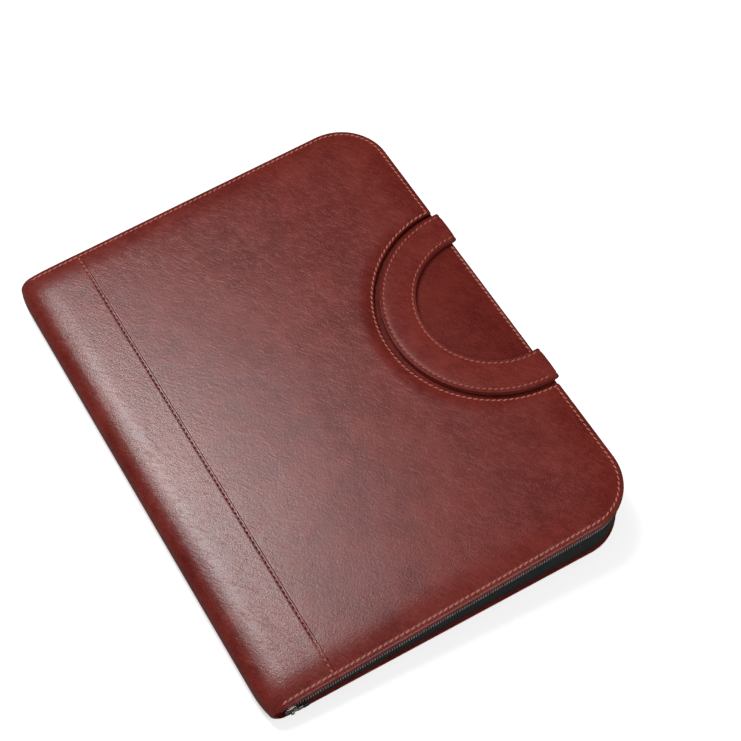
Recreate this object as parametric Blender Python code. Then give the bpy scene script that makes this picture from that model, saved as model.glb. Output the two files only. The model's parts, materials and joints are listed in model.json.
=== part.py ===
"""Zipped leather padfolio with two drop handles, closed and lying on its back cover.

Each cover is a stack of leather, foam, boards and lining. Both covers are modelled in one cover
space: x runs from the centre of the rounded spine to the fore-edge, y along the spine, and z is
the height above the spine's centre towards the outside, so a level is a depth below the outside.
The back cover is that space turned over, and the front cover is that space tilted by the wedge.
"""

import bpy
import bmesh
from math import acos, asin, cos, pi, radians, sin, sqrt
from mathutils import Matrix, Vector

MM = 0.001

# Writing pad that the folder is made for, and its place on the back cover's inside
PAD_WIDTH = 210 * MM
PAD_LENGTH = 297 * MM
PAD_FROM_SPINE = 38 * MM
PAD_TO_EDGE = 12 * MM
PAD_TO_END = 21.5 * MM
PAD_CARD = 1.0 * MM
PAD_SHEETS = 2.6 * MM
PAD_BINDING = 0.5 * MM
PAD_BINDING_LAP = 18 * MM
PAD_CORNER_R = 2 * MM
SLEEVE = 0.6 * MM
SLEEVE_SIDE = 4 * MM
SLEEVE_LENGTH = 180 * MM

# Closed folder, crown to crown, as large as its pad needs
COVER_LENGTH = PAD_LENGTH + 2 * PAD_TO_END
COVER_WIDTH = PAD_FROM_SPINE + PAD_WIDTH + PAD_TO_EDGE
CORNER_R = 35 * MM
SPINE_R = 10 * MM
FORE_EDGE_THICK = 44 * MM
SEAM_FROM_SPINE = 46 * MM
SPINE_CORNER_PULL = 5 * MM

# Layers of a cover, from the outside in
GAP = 0.3 * MM
LEATHER = 1.0 * MM
FOAM = 1.7 * MM
FILLER = 1.3 * MM
FACING = 0.8 * MM
BOARD = 1.2 * MM
LINING = 0.4 * MM
STIFFENER = 0.8 * MM
CROWN_RISE = 2.5 * MM
CROWN_ROLL = 12 * MM
HEM_WIDTH = 6 * MM
FACING_INSET = 0.2 * MM
BOARD_INSET = 6 * MM
LINING_INSET = 5.5 * MM
BOARD_START = 3 * MM

# Drop handle, its recess and the tabs that hold it
HANDLE_R = 71.9 * MM
HANDLE_HOLE_R = 48.5 * MM
HANDLE_SETBACK = 1.5 * MM
HANDLE_SINK = 0.2 * MM
HANDLE_SKIN = 0.9 * MM
RECESS_MARGIN = 3.5 * MM
KNUCKLE_OUT = 0.6 * MM
TAB_REACH = 24 * MM
TAB_THICK = 1.0 * MM
TAB_LIP = 0.8 * MM
TAB_SIDE = 1.4 * MM
TAB_CUP = radians(75)

# Zip round three edges, close under the front cover
TAPE_INSET = 2.0 * MM
TAPE_THICK = 0.8 * MM
TAPE_SHOWN = 2.3 * MM
TAPE_BULGE = 0.1
COIL_WIDTH = 1.2 * MM
COIL_THICK = 1.8 * MM
ZIP_START = 0.5 * MM
TAPE_STEP = 0.4 * MM

# Slider and pull
SLIDER_LENGTH = 8 * MM
SLIDER_WIDTH = 5.6 * MM
SLIDER_PLATE = 1.0 * MM
SLIDER_ROUND = 1.6 * MM
POST_LENGTH = 3 * MM
POST_THICK = 0.8 * MM
LUG_THICK = 0.8 * MM
LUG_LENGTH = 2.4 * MM
PIN_R = 0.45 * MM
PULL_BARREL_R = 1.0 * MM
PULL_WIDTH = 4.0 * MM
PULL_NECK = 2.0 * MM
PULL_SHOULDER = 2.8 * MM
PULL_LENGTH = 11 * MM
PULL_THICK = 0.8 * MM

# Pockets and pen loop on the front cover's inside
POCKET = 0.8 * MM
POCKET_FROM_SPINE = 62 * MM
POCKET_TO_EDGE = 46 * MM
POCKET_TO_END = 20 * MM
POCKET_CORNER_R = 8 * MM
CARD_LEATHER = 0.5 * MM
CARD_WIDTH = 98 * MM
CARD_LENGTH = 44 * MM
CARD_STEP = 14 * MM
CARD_POCKETS = 3
CARD_FROM_SIDE = 22 * MM
CARD_FROM_END = 30 * MM
PEN_LOOP_BORE_R = 5.6 * MM
PEN_LOOP_WALL = 0.9 * MM
PEN_LOOP_FLANGE = 5 * MM
PEN_LOOP_LENGTH = 45 * MM
PEN_LOOP_FROM_EDGE = 20 * MM
PEN_LOOP_ALONG = 35 * MM

# Facets of the round stretches
CORNER_STEPS = 6
RECESS_STEPS = 24
HANDLE_STEPS = 24
TAB_STEPS = 3
PIN_STEPS = 16
PEN_LOOP_STEPS = 16
PEN_LOOP_BORE_STEPS = 20
SPINE_STEP = radians(15)
KNUCKLE_ANGLES = [radians(a) for a in (0, 25, 50, 75)]

# Levels below the outside, and places that follow from the sizes
FOAM_LEVEL = LEATHER + GAP
FILLER_LEVEL = FOAM_LEVEL + FOAM + GAP
FACING_LEVEL = FILLER_LEVEL + FILLER + GAP
HEM_LEVEL = FACING_LEVEL - GAP
BOARD_LEVEL = FACING_LEVEL + FACING + GAP
LINING_LEVEL = BOARD_LEVEL + BOARD + GAP
INSIDE_LEVEL = LINING_LEVEL + LINING + GAP
TAPE_LEVEL = BOARD_LEVEL
TAPE_END_LEVEL = TAPE_LEVEL + TAPE_SHOWN
UPPER_COIL_LEVEL = TAPE_END_LEVEL + GAP
COIL_SPACE = POST_THICK + 2 * GAP
LOWER_COIL_LEVEL = UPPER_COIL_LEVEL + COIL_WIDTH + COIL_SPACE
LOWER_TAPE_LEVEL = LOWER_COIL_LEVEL + COIL_WIDTH + GAP
ZIP_LEVEL = LOWER_COIL_LEVEL - COIL_SPACE / 2

COVER_REACH = COVER_WIDTH - SPINE_R
HALF_LENGTH = COVER_LENGTH / 2
SEAM = SEAM_FROM_SPINE - SPINE_R
WEDGE = asin((FORE_EDGE_THICK - 2 * SPINE_R) / COVER_REACH)
HINGE_AT = SPINE_R * sqrt(0.5)

HANDLE_CENTRE = COVER_REACH - HANDLE_SETBACK
RECESS_R = HANDLE_R + RECESS_MARGIN
HANDLE_THICK = HEM_LEVEL - HANDLE_SINK
KNUCKLE_R = HANDLE_THICK / 2
KNUCKLE_AT = COVER_REACH + KNUCKLE_OUT
KNUCKLE_LEVEL = HANDLE_SINK + KNUCKLE_R
TAB_LOW = HANDLE_HOLE_R + TAB_SIDE
TAB_HIGH = HANDLE_R - TAB_SIDE

WALL_Y = HALF_LENGTH - TAPE_INSET
PLATE_NEAR = COIL_THICK / 2 + GAP
PLATE_FAR = PLATE_NEAR + SLIDER_PLATE
SLIDER_START = ZIP_START
SLIDER_MIDDLE = SLIDER_START + SLIDER_LENGTH / 2
SLIDER_TRAVEL = COVER_REACH - CORNER_R - SLIDER_LENGTH - 2 * SLIDER_START
LOWER_COIL_START = SLIDER_START + SLIDER_LENGTH + 2 * GAP
PIN_OUT = PLATE_FAR + GAP + PULL_BARREL_R

# Front cover space is tilted by the wedge, and back cover space is turned over
SPINE_CENTRE = Vector((SPINE_R, 0, SPINE_R))
TILT = Matrix.Rotation(-WEDGE, 4, "Y")
TURN_OVER = Matrix.Diagonal((1, -1, -1, 1))
FRONT_TO_BACK = TURN_OVER.inverted() @ TILT
HINGE = Vector((-HINGE_AT, 0, HINGE_AT))


def clear_scene():
    for thing in list(bpy.data.objects):
        bpy.data.objects.remove(thing, do_unlink=True)


def finish(name, colour, roughness, metallic=0.0):
    """A plain material with the piece's colour, given as red, green and blue."""
    material = bpy.data.materials.new(name)
    material.use_nodes = True
    shader = material.node_tree.nodes["Principled BSDF"]
    shader.inputs["Base Color"].default_value = (*colour, 1)
    shader.inputs["Roughness"].default_value = roughness
    shader.inputs["Metallic"].default_value = metallic
    material.diffuse_color = (*colour, 1)
    return material


def pivot(name, place, parent=None, turn=None):
    """An empty that carries one body, standing on the axis that the body turns about."""
    empty = bpy.data.objects.new(name, None)
    bpy.context.scene.collection.objects.link(empty)
    empty.empty_display_size = 10 * MM
    empty.parent = parent
    empty.location = place
    if turn is not None:
        empty.rotation_mode = "QUATERNION"
        empty.rotation_quaternion = turn.to_quaternion()
    return empty


def piece(name, mesh, parent, material, offset=(0, 0, 0)):
    """One node: a finished mesh, placed at an offset from the empty that carries it."""
    thing = bpy.data.objects.new(name, mesh)
    bpy.context.scene.collection.objects.link(thing)
    thing.parent = parent
    thing.location = offset
    if not mesh.materials:
        mesh.materials.append(material)
    return thing


def mesh_of(shape, name):
    bmesh.ops.recalc_face_normals(shape, faces=shape.faces)
    mesh = bpy.data.meshes.new(name)
    shape.to_mesh(mesh)
    shape.free()
    mesh.shade_smooth()
    mesh.set_sharp_from_angle(angle=radians(35))
    return mesh


def loft(rings, name, flat_side=False):
    """A closed body made of equal rings of points, joined in order and capped at both ends.

    With a flat side, the first and last points of all rings lie in one plane, and one face closes it.
    """
    shape = bmesh.new()
    loops = [[shape.verts.new(point) for point in ring] for ring in rings]
    for low, high in zip(loops, loops[1:]):
        for i in range(-1 if not flat_side else 0, len(low) - 1):
            shape.faces.new((low[i], low[i + 1], high[i + 1], high[i]))
    if flat_side:
        shape.faces.new([loop[0] for loop in loops] + [loop[-1] for loop in reversed(loops)])
    shape.faces.new(list(reversed(loops[0])))
    shape.faces.new(loops[-1])
    return mesh_of(shape, name)


def at_level(outline, level):
    """An outline of cover space, laid at a depth below the cover's outside."""
    return [Vector((x, y, SPINE_R - level)) for x, y in outline]


def plate(outline, level, thick, name):
    return loft([at_level(outline, level), at_level(outline, level + thick)], name)


def arc(centre, radius, start, end, steps):
    angles = [start + (end - start) * i / steps for i in range(steps + 1)]
    return [(centre[0] + radius * cos(a), centre[1] + radius * sin(a)) for a in angles]


def rounded_box(low, high, radius):
    """A rectangle in x and y with round corners, from its low corner to its high corner."""
    outline = []
    for x, y, start in (
        (high[0] - radius, low[1] + radius, -pi / 2),
        (high[0] - radius, high[1] - radius, 0),
        (low[0] + radius, high[1] - radius, pi / 2),
        (low[0] + radius, low[1] + radius, pi),
    ):
        outline += arc((x, y), radius, start, start + pi / 2, CORNER_STEPS // 2)
    return outline


def recess_arc(inset):
    """The edge of the handle's recess, drawn back into the cover by an inset."""
    radius = RECESS_R + inset
    meets = acos((HANDLE_SETBACK - inset) / radius)
    return arc((HANDLE_CENTRE, 0), radius, -meets, meets - 2 * pi, RECESS_STEPS)


def cover_outline(inset, start, recessed):
    """The cover from a straight line near the spine to its round corners, less an inset."""
    x, y, radius = COVER_REACH - inset, HALF_LENGTH - inset, CORNER_R - inset
    outline = [(start, -y)]
    outline += arc((x - radius, radius - y), radius, -pi / 2, 0, CORNER_STEPS)
    if recessed:
        outline += recess_arc(inset)
    outline += arc((x - radius, y - radius), radius, 0, pi / 2, CORNER_STEPS)
    return outline + [(start, y)]


def crown(distance):
    """How far the padded leather lies below its crown, at a distance from its edge."""
    share = min(distance / CROWN_ROLL, 1)
    return CROWN_RISE * (1 + cos(pi * share)) / 2


# The leather's section at an edge, as distance from the edge and level, crown to lining
ROLL_SHARES = (1, 0.75, 0.5, 0.25, 0)
LEATHER_EDGE = [(CROWN_ROLL * share, crown(CROWN_ROLL * share)) for share in ROLL_SHARES]
LEATHER_EDGE += [(0, HEM_LEVEL), (HEM_WIDTH, HEM_LEVEL), (HEM_WIDTH, crown(HEM_WIDTH) + LEATHER)]
LEATHER_EDGE += [(CROWN_ROLL, LEATHER)]


def cover_leather():
    """The main panel: a crown that rolls down to a turned hem, with the recess cut out."""
    start = SEAM + GAP / 2
    rings = [at_level(cover_outline(inset, start, True), level) for inset, level in LEATHER_EDGE]
    return loft(rings, "cover_leather", flat_side=True)


def spine_edge(angle):
    """Half the leather's length where it bends round the spine, drawn in towards the silhouette."""
    return HALF_LENGTH - SPINE_CORNER_PULL * (1 - abs(sin(angle)))


def bent_ring(section, angle):
    """A section of lengthwise place and depth, stood on the spine's circle at an angle."""
    points = [(SPINE_R - depth, y) for y, depth in section]
    return [Vector((radius * cos(angle), y, radius * sin(angle))) for radius, y in points]


def flat_ring(section, x):
    return [Vector((x, y, SPINE_R - depth)) for y, depth in section]


def leather_section(half):
    """The strip's section along the spine: crowned, with a turned hem at each end."""
    side = [(half - inset, level) for inset, level in LEATHER_EDGE]
    return side + [(-y, level) for y, level in reversed(side)]


def slab_section(half, level, thick):
    return [(half, level), (-half, level), (-half, level + thick), (half, level + thick)]


def angles_between(start, end):
    steps = max(1, round(abs(end - start) / SPINE_STEP))
    return [start + (end - start) * i / steps for i in range(steps + 1)]


def spine_strip():
    """The seamed strip of one cover, from its hinge line on the spine to the seam."""
    slack = GAP / 2 / SPINE_R
    rings = [
        bent_ring(leather_section(spine_edge(angle)), angle)
        for angle in angles_between(pi * 0.75 - slack, pi / 2)
    ]
    rings.append(flat_ring(leather_section(HALF_LENGTH), SEAM - GAP / 2))
    return loft(rings, "spine_strip")


def spine_layer(name, section_at):
    """One layer of the spine, between the two hinge lines. Angles are those of the closed folder."""
    slack = GAP / 2 / SPINE_R
    first = pi * 1.25 - slack
    last = pi * 0.75 + WEDGE + slack
    rings = [bent_ring(section_at(spine_edge(a)), a) for a in angles_between(first, last)]
    return loft(rings, name)


def foam_pad():
    """Foam under the crown, with its edge sloped under the roll."""
    edge = HEM_WIDTH + GAP
    slope = crown(edge) + FOAM_LEVEL
    low = FOAM_LEVEL + FOAM
    rings = [
        at_level(cover_outline(CROWN_ROLL, BOARD_START, True), FOAM_LEVEL),
        at_level(cover_outline(edge, BOARD_START, True), min(slope, low - FOAM / 4)),
        at_level(cover_outline(edge, BOARD_START, True), low),
    ]
    return loft(rings, "foam_pad")


def base_board():
    """The stiff board, notched where the handle's tabs pass under it."""
    edge = COVER_REACH - BOARD_INSET
    depth = KNUCKLE_AT - TAB_REACH - GAP
    notches = []
    for side in (-1, 1):
        near, far = sorted((side * (TAB_LOW - GAP), side * (TAB_HIGH + GAP)))
        notches += [(edge, near), (depth, near), (depth, far), (edge, far)]
    outline = cover_outline(BOARD_INSET, BOARD_START, False)
    middle = len(outline) // 2
    return plate(outline[:middle] + notches + outline[middle:], BOARD_LEVEL, BOARD, "base_board")


def inner_plate(inset, level, thick, name):
    return plate(cover_outline(inset, BOARD_START, False), level, thick, name)


def strap_rings(low, high, reach):
    """Rings of a layer of the strap, in handle space, whose origin lies on the knuckle's axis."""
    centre = -(KNUCKLE_OUT + HANDLE_SETBACK)
    radii = ((HANDLE_R, high), (HANDLE_HOLE_R, high), (HANDLE_HOLE_R, low), (HANDLE_R, low))
    rings = [[Vector((reach, radius, z)) for radius, z in radii]]
    for i in range(HANDLE_STEPS + 1):
        angle = pi / 2 + pi * i / HANDLE_STEPS
        rings.append([
            Vector((centre + radius * cos(angle), radius * sin(angle), z)) for radius, z in radii
        ])
    return rings + [[Vector((reach, -radius, z)) for radius, z in radii]]


def handle_skin(side):
    """The leather on one face of the strap: side is 1 for the outer face and -1 for the inner."""
    faces = sorted((side * KNUCKLE_R, side * (KNUCKLE_R - HANDLE_SKIN)))
    return loft(strap_rings(*faces, -GAP), "handle_skin")


def handle_core():
    """The strap's core, with a round knuckle at each end that turns on the cover's edge."""
    half = KNUCKLE_R - HANDLE_SKIN - GAP
    ends = [
        [
            Vector((KNUCKLE_R * sin(a), radius, z * KNUCKLE_R * cos(a)))
            for radius, z in ((HANDLE_R, 1), (HANDLE_HOLE_R, 1), (HANDLE_HOLE_R, -1), (HANDLE_R, -1))
        ]
        for a in KNUCKLE_ANGLES
    ]
    mirrored = [[Vector((x, -y, z)) for x, y, z in ring] for ring in ends]
    return loft(ends[::-1] + strap_rings(-half, half, 0) + mirrored, "handle_core")


def handle_tab(side):
    """A tab held between facing and lining, with a lip that cups one of the handle's knuckles."""
    cup = KNUCKLE_R + GAP
    lip = cup + TAB_LIP
    centre = (KNUCKLE_AT, KNUCKLE_LEVEL)
    step = COVER_REACH - FACING_INSET + GAP
    profile = [(KNUCKLE_AT - TAB_REACH, BOARD_LEVEL), (step, BOARD_LEVEL)]
    profile += [(step, KNUCKLE_LEVEL + cup)]
    profile += arc(centre, cup, pi / 2, TAB_CUP, TAB_STEPS)
    profile += arc(centre, lip, TAB_CUP, pi / 2, TAB_STEPS)
    profile += [(KNUCKLE_AT, BOARD_LEVEL + TAB_THICK)]
    profile += [(KNUCKLE_AT - TAB_REACH, BOARD_LEVEL + TAB_THICK)]
    ends = (side * TAB_LOW, side * TAB_HIGH)
    rings = [[Vector((x, y, SPINE_R - level)) for x, level in profile] for y in ends]
    return loft(rings, "handle_tab")


def zip_stations(start):
    """Points of the cover's edge with their outward directions, from one spine end to the other."""
    corner = COVER_REACH - CORNER_R
    runs = [x for x in (ZIP_START, LOWER_COIL_START - TAPE_STEP, LOWER_COIL_START) if x >= start]
    stations = [((x, -HALF_LENGTH), (0, -1)) for x in runs + [corner / 2]]
    for i in range(CORNER_STEPS + 1):
        a = -pi / 2 + pi / 2 * i / CORNER_STEPS
        place = (corner + CORNER_R * cos(a), CORNER_R - HALF_LENGTH + CORNER_R * sin(a))
        stations.append((place, (cos(a), sin(a))))
    low, high = TAB_LOW - GAP, TAB_HIGH + GAP
    for y in (high + TAPE_STEP, high, low, low - TAPE_STEP, 0):
        stations.append(((COVER_REACH, -y), (1, 0)))
    mirrored = [((x, -y), (dx, -dy)) for (x, y), (dx, dy) in stations[:-1]]
    return stations + mirrored[::-1]


def drawn_in(station, inset):
    (x, y), (dx, dy) = station
    return x - inset * dx, y - inset * dy


def in_tab(station):
    (x, y), _ = station
    return x == COVER_REACH and TAB_LOW - GAP <= abs(y) <= TAB_HIGH + GAP


def tape_edge_level(station):
    """The tape starts under the facing, or under a handle tab where one passes."""
    return TAPE_LEVEL + (TAB_THICK + GAP if in_tab(station) else 0)


def on_cover(point, level):
    return Vector((*point, SPINE_R - level))


def strip_rings(stations, thick, low, high):
    """A strip that stands on the zip's line in front cover space, between two levels."""
    rings = []
    for station in stations:
        near = drawn_in(station, TAPE_INSET - thick / 2)
        far = drawn_in(station, TAPE_INSET + thick / 2)
        top, base = low(station), high(station)
        corners = ((near, top), (far, top), (far, base), (near, base))
        rings.append([on_cover(place, level) for place, level in corners])
    return rings


def upper_tape():
    rings = strip_rings(
        zip_stations(ZIP_START), TAPE_THICK, tape_edge_level, lambda station: TAPE_END_LEVEL
    )
    return loft(rings, "upper_tape")


def coil(start, level):
    return strip_rings(
        zip_stations(start), COIL_THICK, lambda station: level, lambda station: level + COIL_WIDTH
    )


def upper_coil():
    return loft(coil(ZIP_START, UPPER_COIL_LEVEL), "upper_coil")


def lower_coil():
    """The lower coil lies beside the upper one, and belongs to the back cover."""
    rings = coil(LOWER_COIL_START, LOWER_COIL_LEVEL)
    return loft([[FRONT_TO_BACK @ point for point in ring] for ring in rings], "lower_coil")


def lower_tape():
    """The wide tape from the back cover's hem up to the lower coil, bulging a little between."""
    rings = []
    for station in zip_stations(ZIP_START):
        (x, y), outward = station
        back_edge = tape_edge_level(station)
        under_slider = y < 0 and x < LOWER_COIL_START
        lead = ZIP_LEVEL + SLIDER_WIDTH / 2 + GAP if under_slider else LOWER_TAPE_LEVEL
        ring = []
        for inset in (TAPE_INSET - TAPE_THICK / 2, TAPE_INSET + TAPE_THICK / 2):
            place = drawn_in(station, inset)
            foot = on_cover((place[0], -place[1]), back_edge)
            head = FRONT_TO_BACK @ on_cover(place, lead)
            push = Vector((outward[0], -outward[1], 0)) * (foot - head).length * TAPE_BULGE
            ring.append([foot, (foot + head) / 2 + push, head])
        rings.append(ring[0] + ring[1][::-1])
    return loft(rings, "lower_tape")


def boolean(target, tool, operation):
    """Joins a helper to a piece or cuts it away, and keeps the helper out of the model."""
    tool.hide_render = True
    tool.display_type = "WIRE"
    modifier = target.modifiers.new(tool.name, "BOOLEAN")
    modifier.operation = operation
    modifier.solver = "EXACT"
    modifier.object = tool


def along_y(outline_at):
    """Rings that stand across y: each item is a y and the outline in x and z there."""
    return [[Vector((x, y, z)) for x, z in outline] for y, outline in outline_at]


def slider_box(length, width, radius):
    """A round-cornered outline about the slider's middle, in x and in z about the zip's level."""
    return rounded_box((-length / 2, -width / 2), (length / 2, width / 2), radius)


def cylinder(radius, height, name):
    """A cylinder about z, centred on the origin."""
    shape = bmesh.new()
    bmesh.ops.create_cone(
        shape, cap_ends=True, segments=PIN_STEPS, radius1=radius, radius2=radius, depth=height
    )
    return mesh_of(shape, name)


def zip_slider(parent, metal):
    """Two plates joined by a post that runs between the coils, with lugs and a pin for the pull."""
    big = slider_box(SLIDER_LENGTH, SLIDER_WIDTH, SLIDER_ROUND)
    post = slider_box(POST_LENGTH, POST_THICK, POST_THICK / 4)
    body = loft(
        along_y([
            (-PLATE_FAR, big), (-PLATE_NEAR, big), (-PLATE_NEAR, post),
            (PLATE_NEAR, post), (PLATE_NEAR, big), (PLATE_FAR, big),
        ]),
        "zip_slider",
    )
    slider = piece("zip_slider", body, parent, metal)
    lug = rounded_box(
        (-LUG_LENGTH / 2, -PIN_OUT - PIN_R * 2), (LUG_LENGTH / 2, -PLATE_NEAR - SLIDER_PLATE / 2), PIN_R
    )
    for side, name in ((-1, "slider_lug_low"), (1, "slider_lug_high")):
        near = side * (PULL_NECK / 2 + GAP / 2)
        far = near + side * LUG_THICK
        rings = [[Vector((x, y, z)) for x, y in lug] for z in (near, far)]
        boolean(slider, piece(name, loft(rings, name), parent, metal), "UNION")
    width = PULL_NECK + GAP + LUG_THICK
    pin = piece("slider_pin", cylinder(PIN_R, width, "slider_pin"), parent, metal)
    pin.location = (0, -PIN_OUT, 0)
    boolean(slider, pin, "UNION")
    return slider


def zip_pull(parent, metal):
    """A flat tab with a barrel that turns on the slider's pin."""
    pull = piece("zip_pull", cylinder(PULL_BARREL_R, PULL_NECK, "zip_pull"), parent, metal)
    neck, wide, thick = PULL_NECK / 2, PULL_WIDTH / 2, PULL_THICK / 2
    root, taper = PULL_BARREL_R * 0.75, PULL_SHOULDER + wide
    stations = ((root, neck), (PULL_SHOULDER, neck), (taper, wide))
    stations += ((PULL_LENGTH - wide / 2, wide), (PULL_LENGTH, wide / 2))
    rings = [
        [Vector((x, y, z)) for y, z in ((-thick, -half), (thick, -half), (thick, half), (-thick, half))]
        for x, half in stations
    ]
    boolean(pull, piece("pull_tab", loft(rings, "pull_tab"), parent, metal), "UNION")
    bore = cylinder(PIN_R + GAP / 2, 2 * PULL_NECK, "pull_bore")
    boolean(pull, piece("pull_bore", bore, parent, metal), "DIFFERENCE")
    return pull


def inside_box(from_spine, width, low, high, radius):
    """A rectangle on a cover's inside, at a distance from the spine, between two lengthwise places."""
    near = from_spine - SPINE_R
    return rounded_box((near, low), (near + width, high), radius)


def notepad(cover, materials):
    """The writing pad: its card slides under a sleeve, and a strip binds its head.

    The back cover's space is turned over, so the pad's head lies at its low end.
    """
    half = PAD_LENGTH / 2
    card = inside_box(PAD_FROM_SPINE, PAD_WIDTH, -half, half, PAD_CORNER_R)
    sleeve_level = INSIDE_LEVEL + PAD_CARD + GAP
    sheet_level = sleeve_level + SLEEVE + GAP
    sleeve = inside_box(
        PAD_FROM_SPINE - SLEEVE_SIDE, PAD_WIDTH + 2 * SLEEVE_SIDE,
        half + SLEEVE_SIDE - SLEEVE_LENGTH, half + SLEEVE_SIDE, SLEEVE_SIDE,
    )
    piece("notepad_backing", plate(card, INSIDE_LEVEL, PAD_CARD, "card"), cover, materials["card"])
    piece("notepad_sleeve", plate(sleeve, sleeve_level, SLEEVE, "sleeve"), cover, materials["lining"])
    piece("notepad_sheets", plate(card, sheet_level, PAD_SHEETS, "sheets"), cover, materials["paper"])
    top = sheet_level + PAD_SHEETS + GAP
    back, inner, lap = -half - GAP - PAD_BINDING, -half - GAP, -half + PAD_BINDING_LAP
    profile = [(back, INSIDE_LEVEL), (inner, INSIDE_LEVEL), (inner, top), (lap, top)]
    profile += [(lap, top + PAD_BINDING), (back, top + PAD_BINDING)]
    start = PAD_FROM_SPINE - SPINE_R
    ends = (start, start + PAD_WIDTH)
    rings = [[Vector((x, y, SPINE_R - level)) for y, level in profile] for x in ends]
    piece("notepad_binding", loft(rings, "binding"), cover, materials["lining"])


def pockets(cover, offset, leather):
    """A long document pocket and a tier of card pockets on it, the deepest one the longest."""
    half = HALF_LENGTH - POCKET_TO_END
    width = COVER_WIDTH - POCKET_FROM_SPINE - POCKET_TO_EDGE
    document = inside_box(POCKET_FROM_SPINE, width, -half, half, POCKET_CORNER_R)
    shape = plate(document, INSIDE_LEVEL, POCKET, "document_pocket")
    piece("document_pocket", shape, cover, leather, offset)
    foot = CARD_FROM_END - HALF_LENGTH
    card_start = POCKET_FROM_SPINE + CARD_FROM_SIDE
    for i in range(CARD_POCKETS):
        head = foot + CARD_LENGTH + (CARD_POCKETS - 1 - i) * CARD_STEP
        outline = inside_box(card_start, CARD_WIDTH, foot, head, PAD_CORNER_R)
        level = INSIDE_LEVEL + POCKET + GAP + i * (CARD_LEATHER + GAP)
        name = f"card_pocket_{i + 1}"
        piece(name, plate(outline, level, CARD_LEATHER, name), cover, leather, offset)


def pen_loop():
    """A flat foot with a round loop hanging from it, along y."""
    outer = PEN_LOOP_BORE_R + PEN_LOOP_WALL
    middle = COVER_REACH - PEN_LOOP_FROM_EDGE - outer
    centre = INSIDE_LEVEL + outer
    foot = outer + PEN_LOOP_FLANGE
    low, high = PEN_LOOP_ALONG, PEN_LOOP_ALONG + PEN_LOOP_LENGTH
    shape = bmesh.new()
    loops = []
    for y in (low, high):
        ring = [(middle - foot, INSIDE_LEVEL + PEN_LOOP_WALL), (middle - foot, INSIDE_LEVEL)]
        ring += [(middle + foot, INSIDE_LEVEL), (middle + foot, INSIDE_LEVEL + PEN_LOOP_WALL)]
        meets = asin((outer - PEN_LOOP_WALL) / outer)
        ring += arc((middle, centre), outer, -meets, pi + meets, PEN_LOOP_STEPS)
        bore = arc(
            (middle, centre), PEN_LOOP_BORE_R, -pi * 0.75, pi * 1.25, PEN_LOOP_BORE_STEPS
        )[:-1]
        loops.append([
            [shape.verts.new((x, y, SPINE_R - level)) for x, level in line] for line in (ring, bore)
        ])
    for outer_low, outer_high in ((loops[0][0], loops[1][0]), (loops[0][1], loops[1][1])):
        for i, vert in enumerate(outer_low):
            j = (i + 1) % len(outer_low)
            shape.faces.new((vert, outer_low[j], outer_high[j], outer_high[i]))
    for ring, bore in loops:
        edges = [shape.edges.get((line[i - 1], line[i])) for line in (ring, bore) for i in range(len(line))]
        bmesh.ops.triangle_fill(shape, edges=edges, use_beauty=True)
    return mesh_of(shape, "pen_loop")


def spine(parent, offset, materials):
    """Leather, stiffener and lining between the two hinge lines."""
    stiff_level = LEATHER + GAP
    lining_level = stiff_level + STIFFENER + GAP
    for name, section, material in (
        ("spine_leather", leather_section, "leather"),
        ("spine_stiffener", lambda half: slab_section(half - CROWN_ROLL, stiff_level, STIFFENER), "board"),
        ("spine_lining", lambda half: slab_section(half - CROWN_ROLL, lining_level, LINING), "lining"),
    ):
        piece(name, spine_layer(name, section), parent, materials[material], offset)


def cover_layers(materials):
    """The layers that both covers have, each as the end of its name, its mesh and its material."""
    return [
        ("cover_leather", cover_leather(), materials["leather"]),
        ("spine_panel", spine_strip(), materials["leather"]),
        ("foam_pad", foam_pad(), materials["foam"]),
        ("filler_board", filler_board(), materials["board"]),
        ("recess_leather", inner_plate(FACING_INSET, FACING_LEVEL, FACING, "facing"), materials["leather"]),
        ("base_board", base_board(), materials["board"]),
        ("handle_tab_1", handle_tab(-1), materials["leather"]),
        ("handle_tab_2", handle_tab(1), materials["leather"]),
        ("lining", inner_plate(LINING_INSET, LINING_LEVEL, LINING, "lining"), materials["lining"]),
    ]


def filler_board():
    outline = cover_outline(HEM_WIDTH + GAP, BOARD_START, True)
    return plate(outline, FILLER_LEVEL, FILLER, "filler_board")


def handle_layers(materials):
    return [
        ("handle_leather", handle_skin(1), materials["leather"]),
        ("handle_core", handle_core(), materials["edge"]),
        ("handle_lining", handle_skin(-1), materials["leather"]),
    ]


def stand_on_origin(top):
    """Moves the whole folder so that the middle of its box's base is the origin."""
    bpy.context.view_layer.update()
    corners = []
    for thing in bpy.data.objects:
        if thing.type == "MESH" and not thing.hide_render:
            corners += [thing.matrix_world @ Vector(corner) for corner in thing.bound_box]
    low = Vector([min(corner[i] for corner in corners) for i in range(3)])
    high = Vector([max(corner[i] for corner in corners) for i in range(3)])
    top.location -= Vector(((low.x + high.x) / 2, (low.y + high.y) / 2, low.z))
    bpy.context.view_layer.update()


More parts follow.
